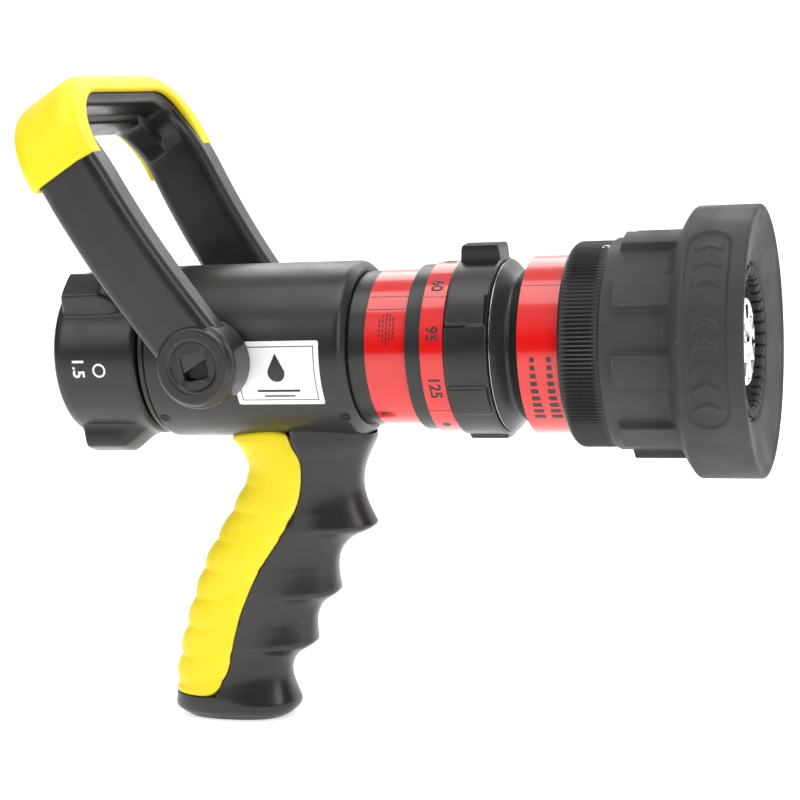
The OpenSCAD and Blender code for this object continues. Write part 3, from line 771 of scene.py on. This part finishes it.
def make_boss(side):
    """Pivot boss: a ring with a stepped face and a square socket, turned round Y."""
    outline = [(BOSS_IN_Y, BOSS_R), (BOSS_Y - 3.6, BOSS_R, 1.6), (BOSS_Y - 2.6, BOSS_R - 1.4, 0.8),
               (BOSS_Y - 0.6, BOSS_R - 1.8, 0.6), (BOSS_Y, BOSS_R - 2.6, 0.5),
               (BOSS_Y, 10.4, 0.8), (BOSS_Y - 1.5, 9.3, 0.6)]
    profile = softened(outline, 0.8, closed=False, arc=5)
    count = 160
    rows = []
    for depth, radius in profile:
        rows.append([(PIVOT_X + radius * math.cos(TAU * k / count), side * depth,
                      radius * math.sin(TAU * k / count)) for k in range(count)])
    for depth, half in ((BOSS_Y - 1.5, SQUARE_HALF + 0.5), (BOSS_Y - 1.9, SQUARE_HALF + 0.1),
                        (BOSS_IN_Y, SQUARE_HALF + 0.1)):
        ring = []
        for k in range(count):
            u, w = square_point(TAU * k / count - SQUARE_TURN, half)
            c, s = math.cos(SQUARE_TURN), math.sin(SQUARE_TURN)
            ring.append((PIVOT_X + u * c - w * s, side * depth, u * s + w * c))
        rows.append(ring)
    rows.append(rows[0])
    name = "bail_boss_near" if side < 0 else "bail_boss_far"
    finish_mesh(name, tile(rows, False, True), "bail_and_ball", "black_nylon")


def cover_outline(stop):
    """Channel section of the cover: outside, then back along the inside."""
    a, b = bar_half(stop)
    outer = round_section(a + COVER_T, b + COVER_T, 7.0)
    inner = round_section(a + COVER_GAP, b + COVER_GAP, BAR_ROUND)
    k = len(outer) // 4
    lip = mix(-2.5, -1.5, stop[3])
    out = [(lip, -b - COVER_T)] + outer[3 * k:] + outer[:k] + [(lip, b + COVER_T)]
    back = inner[:k][::-1] + inner[3 * k:][::-1]
    return out + [(lip, b + COVER_GAP)] + back + [(lip, -b - COVER_GAP)]


def make_bail_cover():
    stops = whole_line(40, 22, 10, first=COVER_FOOT)
    rings = [across(cover_outline(stop), stop, side) for stop, side in stops]
    piece = finish_mesh("bail_cover_skin", channel(rings), "bail_and_ball", "yellow_soft",
                        ["bail_cover"], sharp=60, weighted=False)
    bevel = piece.modifiers.new("soft_rim", "BEVEL")
    bevel.width = 1.0 * MM
    bevel.segments = 3
    bevel.limit_method = "ANGLE"
    bevel.angle_limit = math.radians(55)


def make_bail():
    make_bail_arms()
    for side in (-1, 1):
        make_boss(side)
    make_bail_cover()


# Grip ---------------------------------------------------------------

GRIP_TOP = -36.5
GRIP_BOTTOM = -154.6
INSERT_END = -144.5
GRIP_HALF = 15.0
# Height and front line of each finger ridge, and depth and lean of the hollow below it.
RIDGES = [(GRIP_TOP, 127.0, 6.5, 1.0), (-74.0, 126.0, 11.0, 0.6), (-102.0, 107.6, 6.5, 0.6),
          (-124.0, 95.8, 8.8, 0.65), (-149.0, 86.4, 0.0, 1.0)]
# Heights and stations of the grip's back, and of the joint line between its two colours.
BACK_LINE = [(GRIP_BOTTOM, 38.0), (-151.0, 32.6), (-147.5, 32.6), (-130.0, 35.0), (-110.0, 41.0),
             (-86.0, 51.0), (-66.0, 63.5), (-50.0, 72.6), (-42.0, 71.0), (GRIP_TOP, 66.5)]
SPLIT_LINE = [(-160.0, 52.0), (-145.0, 54.5), (-133.0, 61.0), (-117.0, 65.6), (-101.0, 72.0),
              (-86.0, 81.0), (-73.0, 90.7), (-61.0, 97.1), (-48.0, 99.4), (-42.0, 98.4), (-33.0, 94.0),
              (-30.0, 92.0)]
RIB_PITCH = 12.4
SECTION_POWER = 2.5
SCOOP = 0.2  # share of the half width that a finger hollow takes from each side


def finger(z):
    """Ridge above, ridge below, and the share of the hollow between them at height z."""
    i = 0
    while i < len(RIDGES) - 2 and z < RIDGES[i + 1][0]:
        i += 1
    a, b = RIDGES[i], RIDGES[i + 1]
    t = min(1.0, max(0.0, (a[0] - z) / (a[0] - b[0])))
    return a, b, t, math.sin(math.pi * t ** a[3])


def raw_front(z):
    a, b, t, hollow = finger(z)
    return mix(a[1], b[1], t) - a[2] * hollow - 9 * min(1.0, max(0.0, (-149 - z) / 7)) ** 2


def grip_front(z):
    """Front line with its ridge tips rounded off, as the mean over a short window."""
    reach = 1.9 * min(1.0, (z - GRIP_BOTTOM) / 4 + 0.05)
    return sum(raw_front(z + reach * k / 4) for k in range(-4, 5)) / 9


def grip_back(z):
    rib = 1.5 * (1 - abs(math.sin(math.pi * (z + 54) / RIB_PITCH)) ** 0.8)
    return through(BACK_LINE, z) - 1.2 + rib * ease((-z - 52) / 6) * ease((z + 146) / 8)


def grip_half(z):
    return through([(GRIP_BOTTOM, 12.6), (-150.0, 16.0), (-138.0, GRIP_HALF), (-100.0, GRIP_HALF - 0.3),
                    (-60.0, GRIP_HALF), (GRIP_TOP, 15.5)], z)


def grip_point(z, t, inset=0.0):
    """Point of the grip's section at height z and angle t from the front, moved in by inset mm.

    Above the top level the section climbs the round of the valve body.
    """
    level = min(z, GRIP_TOP)
    f, b = grip_front(level), grip_back(level)
    a, w = (f - b) / 2 - inset, grip_half(level) - inset
    c, s = math.cos(t), math.sin(t)
    hollow = finger(level)[3] * bump_up(level, -146.0, -44.0, 6.0)
    scoop = 1 - SCOOP * hollow * smooth01((c + 0.1) / 0.75)
    x = (f + b) / 2 + a * math.copysign(abs(c) ** (2 / SECTION_POWER), c)
    y = w * scoop * math.copysign(abs(s) ** (2 / SECTION_POWER), s)
    if z > GRIP_TOP:
        roof = -math.sqrt(BODY_R ** 2 - y * y) + 0.4
        return (x, y, mix(GRIP_TOP, roof, z - GRIP_TOP))
    return (x, y, z)


def split_turn(z, corner=0.0):
    """Angle of the joint line between core and insert, moved back by corner mm."""
    level = min(z, GRIP_TOP)
    f, b = grip_front(level), grip_back(level)
    q = (through(SPLIT_LINE, z) - corner - (f + b) / 2) / ((f - b) / 2)
    q = max(-0.97, min(0.97, q))
    return math.acos(math.copysign(abs(q) ** (SECTION_POWER / 2), q))


TOP_STEPS = 8
INSERT_GAP = 0.03  # the dark joint line, as an angle round the section
INSERT_SEAT = 2.6


def grip_levels(first, count):
    levels = [mix(first, GRIP_TOP, i / count) for i in range(count + 1)]
    return levels + [GRIP_TOP + i / TOP_STEPS for i in range(1, TOP_STEPS + 1)]


def make_grip_core():
    """Black core: full section at the front and the base, sunk behind the insert at the back."""
    base = [GRIP_BOTTOM, -154.5, -154.1, -153.3, -152.2, -151.0, -149.5, -148.0, -146.5, -145.4, -144.9]
    front, behind = 90, 70
    rings = []
    for z in base + grip_levels(INSERT_END - 0.3, 170):
        split = split_turn(z)
        sunk = INSERT_SEAT if z > INSERT_END - 0.2 else 0.0
        start = split + INSERT_GAP
        ring = [grip_point(z, split * (2 * k / front - 1)) for k in range(front + 1)]
        ring += [grip_point(z, mix(start, TAU - start, k / behind), sunk) for k in range(behind + 1)]
        rings.append(ring)
    finish_mesh("grip_core", capped(rings), "valve_body", "black_nylon", ["grip", "grip_screw"],
                sharp=60, weighted=False)


INSERT_CORNER = 5.0
INSERT_PROUD = 0.35


def corner_pull(z):
    """How far the insert's outline draws back at its two rounded ends."""
    to_top = (GRIP_TOP + 1.0 - z) * (3.5 if z > GRIP_TOP - 1 else 1.0) + 0.2
    near = min(z - INSERT_END, to_top)
    if near >= INSERT_CORNER:
        return 0.0
    return INSERT_CORNER - math.sqrt(max(0.0, INSERT_CORNER ** 2 - (INSERT_CORNER - near) ** 2))


def make_grip_insert():
    """Yellow insert, a shell round the back with a rolled edge that stands a little proud."""
    arc = 60
    rings = []
    levels = grip_levels(INSERT_END + 0.2, 200)
    for i, z in enumerate(levels):
        start = split_turn(z, corner_pull(z)) + 0.02
        ends = min(1.0, min(i, len(levels) - 1 - i) / 4)
        ring = []
        for k in range(arc + 1):
            share = k / arc
            edge = min(share, 1 - share) * arc
            roll = 1.1 * max(0.0, 1 - edge / 2.2) ** 2 + 0.8 * (1 - ends) ** 2
            ring.append(grip_point(z, mix(start, TAU - start, share), roll - INSERT_PROUD))
        for k in range(arc, -1, -1):
            ring.append(grip_point(z, mix(start, TAU - start, k / arc), INSERT_SEAT - 0.2))
        rings.append(ring)
    finish_mesh("grip_insert_skin", channel(rings), "valve_body", "yellow_soft", ["grip_insert"],
                sharp=55, weighted=False)


# Barrels and bands --------------------------------------------------

SPIGOT_R = 25.5  # ends of the barrels that plug into their neighbours
JOURNAL_R = 28.0  # the selector ring turns on it
JOURNAL_END = 186.4
RING_R = 32.9  # black ring between the two red bands


def make_rear_barrel():
    start, end, _ = span("rear_barrel")
    band0, band1, band_r = span("rear_band")
    dial0, dial1, dial_r = span("number_band")
    outline = [(start, WATERWAY_R), (start, SPIGOT_R), (127.4, SPIGOT_R), (127.7, 30.9),
               (band0 - 0.2, 30.9), (band0 - 0.1, band_r - 0.2), (band1 + 0.1, band_r - 0.2),
               (band1 + 0.2, RING_R, 0.5), (dial0 - 0.1, RING_R, 0.5), (dial0, dial_r - 0.2),
               (dial1, dial_r - 0.2, 0.2), (dial1 + 0.05, JOURNAL_R), (JOURNAL_END, JOURNAL_R),
               (JOURNAL_END, SPIGOT_R), (end, SPIGOT_R), (end, WATERWAY_R)]
    turned_piece("rear_barrel_shell", outline, "valve_body", "black_anodised", ["rear_barrel"],
                 radius=0.3)


def film(name, node):
    """A printed red film ring with softly rounded rims, over its CAD node."""
    x0, x1, r = span(node)
    outline = [(x0, r - 0.2), (x0, r, 0.12), (x1, r, 0.12), (x1, r - 0.2)]
    turned_piece(name, outline, "valve_body", "red_film", [node], radius=0.1)


NECK_CURVE = [(0, 34.2), (0.45, 29.4), (0.62, 29.7), (1, 34.2)]  # share of the waist, and radius
GUIDE_R = 33.0  # tube that the pattern sleeve slides on
GUIDE_END = 252.0
THROAT_R = 20.5


def make_neck():
    _, start, _ = span("thrust_washer")
    band0, band1, band_r = span("front_band")
    end = span("front_barrel")[1]
    neck = [(mix(start + 0.1, band0 - 0.1, t / 16), through(NECK_CURVE, t / 16)) for t in range(17)]
    outline = [(start + 0.1, CHAMBER_R)] + neck + [
        (band0 - 0.1, band_r - 0.2), (band1 + 0.05, band_r - 0.2, 0.3), (band1 + 0.1, GUIDE_R),
        (GUIDE_END, GUIDE_R), (GUIDE_END + 1.0, THROAT_R + 3.5), (end - 1, THROAT_R + 3.5),
        (end, THROAT_R + 2.5), (end, THROAT_R), (GUIDE_END - 2.0, THROAT_R), (GUIDE_END - 8.0, 22.0),
        (200.3, 22.0), (200.3, CHAMBER_R)]
    turned_piece("neck_shell", outline, "valve_body", "black_anodised", ["front_barrel"], radius=0.35)


SELECTOR_R = 35.0
TAB_R = 41.0
PAD_LIFT = 1.6
INDEX_PHI = math.radians(20)


def selector_shape(x, r, phi):
    """Six low pads, a tall ribbed thumb tab on top, and the index notch."""
    if r < SELECTOR_R - 2:
        return r
    x0, x1, _ = span("selector_ring")
    inside = bump_up(x, x0 + 1.4, x1 - 1.4, 0.9)
    lift = 0.0
    for k in range(6):
        gap = abs(angle_gap(phi, math.radians(30 + 60 * k))) * SELECTOR_R
        lift = max(lift, PAD_LIFT * (1 - smooth01((gap - 5.6) / 1.4)))
    top = abs(angle_gap(phi, math.pi / 2)) * SELECTOR_R
    ribs = 0.35 * math.cos(TAU * top / 2.0)
    tab = (TAB_R - 0.4 - SELECTOR_R + ribs) * (1 - smooth01((top - 6.2) / 1.2))
    notch = abs(angle_gap(phi, INDEX_PHI)) * SELECTOR_R
    cut = 0.9 * (1 - smooth01((notch - 0.5) / 0.35)) if x < (x0 + x1) / 2 else 0.0
    return r + max(lift, tab) * inside - cut


def make_selector():
    x0, x1, _ = span("selector_ring")
    bore = JOURNAL_R + 0.06
    outline = [(x0, bore), (x0, SELECTOR_R - 0.7), (x0 + 0.7, SELECTOR_R),
               (x1 - 0.7, SELECTOR_R), (x1, SELECTOR_R - 0.7), (x1, bore)]
    turned_piece("selector_shell", outline, "flow_selector", "black_anodised", ["selector_ring"],
                 segments=720, radius=0.4, step=0.45, shape=selector_shape, sharp=60)


THRUST_SET_BACK = 1.3


def make_thrust_washer():
    x0, x1, r = span("thrust_washer")
    edge = r - THRUST_SET_BACK
    bore = JOURNAL_R + 0.05
    outline = [(x0, bore), (x0, edge - 0.5), (x0 + 0.25, edge), (x1 - 0.3, edge), (x1, edge - 0.7),
               (x1, bore)]
    turned_piece("thrust_ring", outline, "valve_body", "bright_aluminium", ["thrust_washer"],
                 radius=0.2)


# Pattern sleeve and bumper ------------------------------------------

KNURL_R = 40.0
KNURL_END = 229.5
KNURL_TEETH = 150
KNURL_DEPTH = 0.75
MOUTH_R = 35.2  # the sleeve's bore: wide over the front band, then sliding, then a lip
MOUTH_END = 226.4
SLIDE_R = 33.2
LIP_START = 264.6
LIP_R = 29.0
SLEEVE_R = 37.0


def knurl_shape(x, r, phi):
    if r < KNURL_R - 1.5:
        return r
    start = span("pattern_sleeve")[0]
    inside = bump_up(x, start + 1.8, KNURL_END - 0.9, 0.8)
    return r - KNURL_DEPTH * inside * smooth01(sawtooth(phi, KNURL_TEETH))


def make_sleeve():
    start, end, _ = span("pattern_sleeve")
    outline = [(start, MOUTH_R), (start, KNURL_R - 1.6), (start + 1.6, KNURL_R, 1.2),
               (KNURL_END, KNURL_R), (KNURL_END, SLEEVE_R), (end, SLEEVE_R), (end, LIP_R),
               (LIP_START, LIP_R), (LIP_START, SLIDE_R), (MOUTH_END, SLIDE_R), (MOUTH_END, MOUTH_R)]
    turned_piece("knurled_sleeve", outline, "pattern_sleeve", "black_anodised", ["pattern_sleeve"],
                 segments=KNURL_TEETH * 6, radius=0.5, step=1.4, shape=knurl_shape, sharp=70)


PAD_COUNT = 9
PAD_HALF = 6.0
PAD_R = 44.3
PAD_BASE_R = 41.0
PAD_X = (234.6, 254.0)
PAD_PHI = math.radians(-7)
RIM_REAR = 258.5
RECESS_X = (263.0, 279.0)
RECESS_HALF = 40.0
RECESS_PHI = math.radians(14)
RECESS_DEPTH = 1.0
RIB_STEP = 8.0
RIB_HEIGHT = 0.85  # as a share of the recess's depth


def bumper_shape(x, r, phi):
    """Raised grip pads behind the rim, and an oval recess with plain ribs on each flank."""
    rim_r = span("bumper")[2]
    if x < RIM_REAR and PAD_BASE_R - 1.6 < r < 50:
        step = TAU / PAD_COUNT
        gap = abs((phi - PAD_PHI + step / 2) % step - step / 2) * PAD_BASE_R
        lift = (1 - smooth01((gap - PAD_HALF + 0.5) / 0.8)) * smooth01((x - PAD_X[0]) / 0.9 + 0.3)
        return max(r, r + (PAD_R - r) * lift) if r < PAD_R else r
    if r < rim_r - 1.2 or x <= RIM_REAR:
        return r
    sink = 0.0
    middle = (RECESS_X[0] + RECESS_X[1]) / 2
    half = (RECESS_X[1] - RECESS_X[0]) / 2
    for centre in (RECESS_PHI, RECESS_PHI + math.pi):
        around = angle_gap(phi, centre) * rim_r
        end = max(0.0, abs(around) - (RECESS_HALF - half))
        reach = math.hypot(end, x - middle)
        sink = max(sink, 1 - smooth01((reach - half + 0.7) / 1.1))
        along = (around + RIB_STEP / 2) % RIB_STEP - RIB_STEP / 2
        slanted = abs(along + 0.45 * (abs(x - middle) - 3.0))
        rib = (1 - smooth01((slanted - 0.9) / 0.7)) * (1 - smooth01((abs(x - middle) - 4.4) / 0.9))
        rib *= 1 - smooth01(abs(around) - RECESS_HALF + 7.5)
        if abs(around) < RECESS_HALF:
            sink -= RIB_HEIGHT * rib
    return r - RECESS_DEPTH * max(0.0, sink)


def make_bumper():
    start, end, rim_r = span("bumper")
    bore, mouth = SLEEVE_R + 0.05, 30.0
    outline = [(start, bore), (start, PAD_BASE_R - 0.5), (start + 1.0, PAD_BASE_R, 0.5),
               (start + 4.4, PAD_BASE_R, 0.6), (PAD_X[0] + 0.1, PAD_BASE_R), (254.2, PAD_BASE_R, 1.5),
               (256.6, 43.6, 1.5), (258.0, 47.4, 1.8), (261.2, rim_r, 1.2), (end - 0.6, rim_r, 0.7),
               (end, rim_r - 0.9, 0.6), (end, rim_r - 2.2, 0.5), (end - 0.7, rim_r - 3.6, 0.8),
               (end - 4.2, mouth + 1.2, 1.0), (end - 5.6, mouth), (279.1, mouth), (279.1, bore)]
    turned_piece("bumper_skin", outline, "pattern_sleeve", "bumper_rubber", ["bumper"], segments=720,
                 radius=0.5, step=0.55, shape=bumper_shape, sharp=75)


TOOTH_COUNT = 36
TOOTH_R = 25.5
TOOTH_LENGTH = 4.4
TOOTH_DEPTH = 1.9


def tooth_shape(x, r, phi):
    past = x - span("fog_teeth_ring")[1] + TOOTH_LENGTH
    if past < 0 or r > TOOTH_R + 2.5:
        return r
    gap = smooth01((sawtooth(phi, TOOTH_COUNT) - 0.7) / 0.14)
    return r + TOOTH_DEPTH * gap * smooth01(past / 0.5)


def make_teeth():
    start, end, _ = span("fog_teeth_ring")
    root = LIP_R - 0.03
    outline = [(start, root), (start, TOOTH_R), (end - 1.2, TOOTH_R), (end, TOOTH_R + 1.1), (end, root)]
    turned_piece("fog_teeth", outline, "pattern_sleeve", "bumper_rubber", ["fog_teeth_ring"],
                 segments=TOOTH_COUNT * 20, radius=0.4, step=0.4, shape=tooth_shape, sharp=60)


# Stem and baffle ----------------------------------------------------

VANE_COUNT = 8
VANE_DEPTH = 1.1
DOME_R = 5.3
SHANK_R = 3.0
HEX_HALF = 2.2


def baffle_shape(x, r, phi):
    """Shallow radial flutes on the face of the baffle."""
    end = span("baffle_head")[1]
    if x < end - 0.9 or not 8.2 < r < 15.4:
        return x
    flute = smooth01((sawtooth(phi, VANE_COUNT) - 0.35) / 0.3)
    return x - VANE_DEPTH * flute * bump_up(r, 9.4, 14.4, 1.2)


def make_baffle():
    start, end, r = span("baffle_head")
    stem_r, thread_r = 5.03, SHANK_R + 0.05
    outline = [(start, stem_r), (start, 6.6), (end - 4.2, r - 0.8, 0.8), (end - 3.2, r, 0.5),
               (end - 0.6, r, 0.4), (end, r - 0.8, 0.3), (end, 8.4, 0.3), (end - 1.0, 7.2),
               (end - 1.0, thread_r), (end - 6, thread_r), (end - 6, stem_r)]
    profile = divided(softened(outline, 0.3), 0.5)
    rows = []
    for k in range(256):
        phi = TAU * k / 256
        rows.append([at_phi(baffle_shape(x, radius, phi), radius, phi) for x, radius in profile])
    finish_mesh("baffle_disc", tile(rows, True, True), "stem_and_baffle", "baffle_chrome",
                ["baffle_head"])


def make_baffle_screw():
    """Domed screw with a hexagon socket."""
    start, end, _ = span("baffle_screw")
    seat = span("baffle_head")[1] - 0.95
    count = 144
    dome = [(start, SHANK_R), (seat, SHANK_R), (seat, DOME_R)]
    for k in range(1, 12):
        a = math.pi / 2 * k / 12
        dome.append((seat + (end - seat) * math.sin(a), DOME_R * math.cos(a)))
    dome = [p for p in dome if p[1] > HEX_HALF + 0.35 or p[0] < seat + 0.1]
    rows = [[at_phi(x, r, TAU * k / count) for k in range(count)] for x, r in dome]
    for x in (end - 0.25, end - 2.2):
        ring = []
        for k in range(count):
            phi = TAU * k / count
            flat = math.cos(math.pi / 6) / math.cos((phi % (math.pi / 3)) - math.pi / 6)
            ring.append(at_phi(x, HEX_HALF * flat, phi))
        rows.append(ring)
    finish_mesh("baffle_dome", capped(rows), "stem_and_baffle", "baffle_chrome", ["baffle_screw"])


# Trim ---------------------------------------------------------------

def make_side_label():
    """White label bent over the flank, with a plain generic drop and bars."""
    low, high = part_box("side_label")
    x0, x1 = low.x / MM, high.x / MM
    r = BODY_R + 0.02
    centre = math.radians(-9.5)
    half = r * math.radians(21.5)
    middle = (x0 + x1) / 2
    half_x = (x1 - x0) / 2
    plate = softened(bar(-half_x, half_x, -half, half), 1.0)
    piece = wrapped("label_plate", flat_mesh([plate]), middle, centre, r, "valve_body", "white_label",
                    height=0.16)
    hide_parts("side_label")
    a, b, w = half_x - 2.0, half - 2.0, 0.35
    lines = [bar(-a, a, b - w, b), bar(-a, a, -b, -b + w), bar(-a, -a + w, -b + w, b - w),
             bar(a - w, a, -b + w, b - w), bar(-9, 9, -7.4, -6.4), bar(-6.5, 6.5, -9.6, -8.9)]
    drop = [(0, 8.5)]
    for k in range(25):
        t = math.radians(30 - 240 * k / 24)
        drop.append((3.6 * math.cos(t), 0.6 + 3.6 * math.sin(t)))
    lines.append(drop)
    wrapped("label_print", flat_mesh(lines), middle, centre, r + 0.16, "valve_body", "white_label",
            BLACK_INK, height=0.04)


DIAL_SIZE = 6.4
READ_DOWN = -math.pi / 2
DASH_PITCH = 1.9


def band_print(name, flat, station, degrees, radius, turn=0.0):
    wrapped(name, flat, station, math.radians(degrees), radius, "valve_body", "red_film", BAND_INK, turn)


def make_dial():
    """Dial numbers on the number band; the flush setting is marked with a plain dot."""
    x0, x1, r = span("number_band")
    middle = (x0 + x1) / 2
    for words, degrees in (("30", 87), ("60", 51), ("95", 15), ("125", -21)):
        band_print("dial_" + words, text_mesh(words, DIAL_SIZE), middle, degrees, r, READ_DOWN)
    band_print("dial_flush", flat_mesh([disc(1.7, 24)]), middle, -57, r)
    rule = bar(x0 - middle + 0.2, x1 - middle - 0.2, -0.12, 0.12)
    for k, degrees in enumerate((62, 41, -40, -74)):
        band_print("dial_rule_%d" % k, flat_mesh([rule]), middle, degrees, r)


def make_rear_band_print():
    """Rows of fine plain bars stand where small print would be, with a turn arrow."""
    x0, x1, r = span("rear_band")
    middle = (x0 + x1) / 2
    dashes = []
    for k, length in enumerate((9.0, 12.5, 14.0, 13.0, 10.5)):
        x = 1.4 * k - 2.6
        for dash in range(int(length / DASH_PITCH)):
            y = length / 2 - DASH_PITCH * dash
            dashes.append(bar(x, x + 0.55, y - 1.35, y))
    band_print("rear_band_lines", flat_mesh(dashes), middle, 19, r)
    for k, degrees in enumerate((46, 35)):
        band_print("rear_band_rule_%d" % k, flat_mesh([bar(-7.8, 7.8, -0.13, 0.13)]), middle, degrees, r)
    arrow = [(-2.6, 1.0), (-2.6, -1.4), (1.9, 0.2)]
    band_print("rear_band_arrow", flat_mesh([arrow]), x0 + 4.6, -49, r)


def make_front_band_print():
    """A plain stream-pattern scale: two rows of blocks that widen step by step."""
    x0, x1, r = span("front_band")
    middle = (x0 + x1) / 2
    blocks = []
    for k in range(9):
        y = 13.0 - 3.2 * k
        half = 0.8 + 0.16 * k
        for x in (4.2, -2.4):
            blocks.append(bar(x - half, x + half, y, y + 1.9))
    band_print("front_band_scale", flat_mesh(blocks), middle, -25, r)
    rule = bar(x0 - middle + 0.3, x1 - middle - 0.3, -0.13, 0.13)
    band_print("front_band_rule", flat_mesh([rule]), middle, 47, r)


def make_coupling_marks():
    """A plain size number and a plain ring on the coupling."""
    wrapped("coupling_size", text_mesh("1.5", 7.2), 12.0, math.radians(-4), COUPLING_R, "inlet_swivel",
            "white_label", WHITE_INK, READ_DOWN, 0.04)
    wrapped("coupling_ring_mark", flat_mesh(ring_shapes(2.9, 2.1, 40)), 21.5, math.radians(-6),
            COUPLING_R, "inlet_swivel", "white_label", WHITE_INK, height=0.04)


# Stage --------------------------------------------------------------

STAGE_GLOW = 0.62


def make_stage():
    """A pale seamless floor that rises behind the object, in metres."""
    floor_z = cad_low.z - 0.0005
    mat = new_material("stage_white", (0.93, 0.93, 0.93), 0.6)
    vary_color(mat, 3, (0.925, 0.925, 0.925), (0.935, 0.935, 0.935))
    shader = mat.node_tree.nodes["Principled BSDF"]
    shader.inputs["Emission Color"].default_value = (1, 1, 1, 1)
    shader.inputs["Emission Strength"].default_value = STAGE_GLOW
    back, rise, steps = 1.6, 1.6, 24
    profile = [(-4.0, 0.0), (back, 0.0)]
    for k in range(1, steps + 1):
        a = math.pi / 2 * k / steps
        profile.append((back + rise * math.sin(a), rise * (1 - math.cos(a))))
    profile.append((back + rise, 6.0))
    verts = [(x, y, floor_z + z) for x in (-6.0, 6.0) for y, z in profile]
    n = len(profile)
    faces = [(i, i + 1, n + i + 1, n + i) for i in range(n - 1)]
    mesh = bpy.data.meshes.new("floor")
    mesh.from_pydata(verts, [], faces)
    mesh.polygons.foreach_set("use_smooth", [True] * len(mesh.polygons))
    mesh.materials.append(mat)
    floor = bpy.data.objects.new("floor", mesh)
    bpy.context.scene.collection.objects.link(floor)


LIGHT_TARGET = (0.14, 0, 0)


def area_light(name, position, width, height, power):
    data = bpy.data.lights.new(name, "AREA")
    data.shape = "RECTANGLE"
    data.size = width
    data.size_y = height
    data.energy = power
    light = bpy.data.objects.new(name, data)
    light.location = position
    direction = Vector(LIGHT_TARGET) - Vector(position)
    light.rotation_euler = direction.to_track_quat("-Z", "Y").to_euler()
    bpy.context.scene.collection.objects.link(light)


WORLD_LOW = 0.03
WORLD_HIGH = 0.62


def make_world():
    """Studio surround: dim towards the horizon and bright overhead."""
    world = bpy.data.worlds.new("studio")
    world.use_nodes = True
    nodes, links = world.node_tree.nodes, world.node_tree.links
    coords = nodes.new("ShaderNodeTexCoord")
    split = nodes.new("ShaderNodeSeparateXYZ")
    ranger = nodes.new("ShaderNodeMapRange")
    ranger.interpolation_type = "SMOOTHSTEP"
    ranger.inputs["From Min"].default_value = 0.15
    ranger.inputs["From Max"].default_value = 0.75
    ranger.inputs["To Min"].default_value = WORLD_LOW
    ranger.inputs["To Max"].default_value = WORLD_HIGH
    links.new(coords.outputs["Generated"], split.inputs["Vector"])
    links.new(split.outputs["Z"], ranger.inputs["Value"])
    links.new(ranger.outputs["Result"], nodes["Background"].inputs["Strength"])
    nodes["Background"].inputs["Color"].default_value = (1, 1, 1, 1)
    bpy.context.scene.world = world


def make_light():
    make_world()
    area_light("top_box", (0.15, -0.25, 1.2), 1.2, 0.8, 8.5)
    area_light("front_box", (1.15, -0.75, 0.5), 0.6, 0.9, 5.5)
    area_light("side_box", (-0.8, -1.1, 0.75), 0.6, 0.8, 5.0)
    area_light("back_box", (0.1, 1.0, 0.9), 1.4, 0.7, 7)
    view = bpy.context.scene.view_settings
    view.view_transform = "Standard"
    view.look = "None"


# Build --------------------------------------------------------------

make_coupling()
make_valve_body()
make_bail()
make_grip_core()
make_grip_insert()
make_rear_barrel()
film("rear_film", "rear_band")
film("dial_film", "number_band")
film("front_film", "front_band")
make_neck()
make_selector()
make_thrust_washer()
make_sleeve()
make_bumper()
make_teeth()
make_baffle()
make_baffle_screw()
make_side_label()
make_dial()
make_rear_band_print()
make_front_band_print()
make_coupling_marks()
make_stage()
make_light()
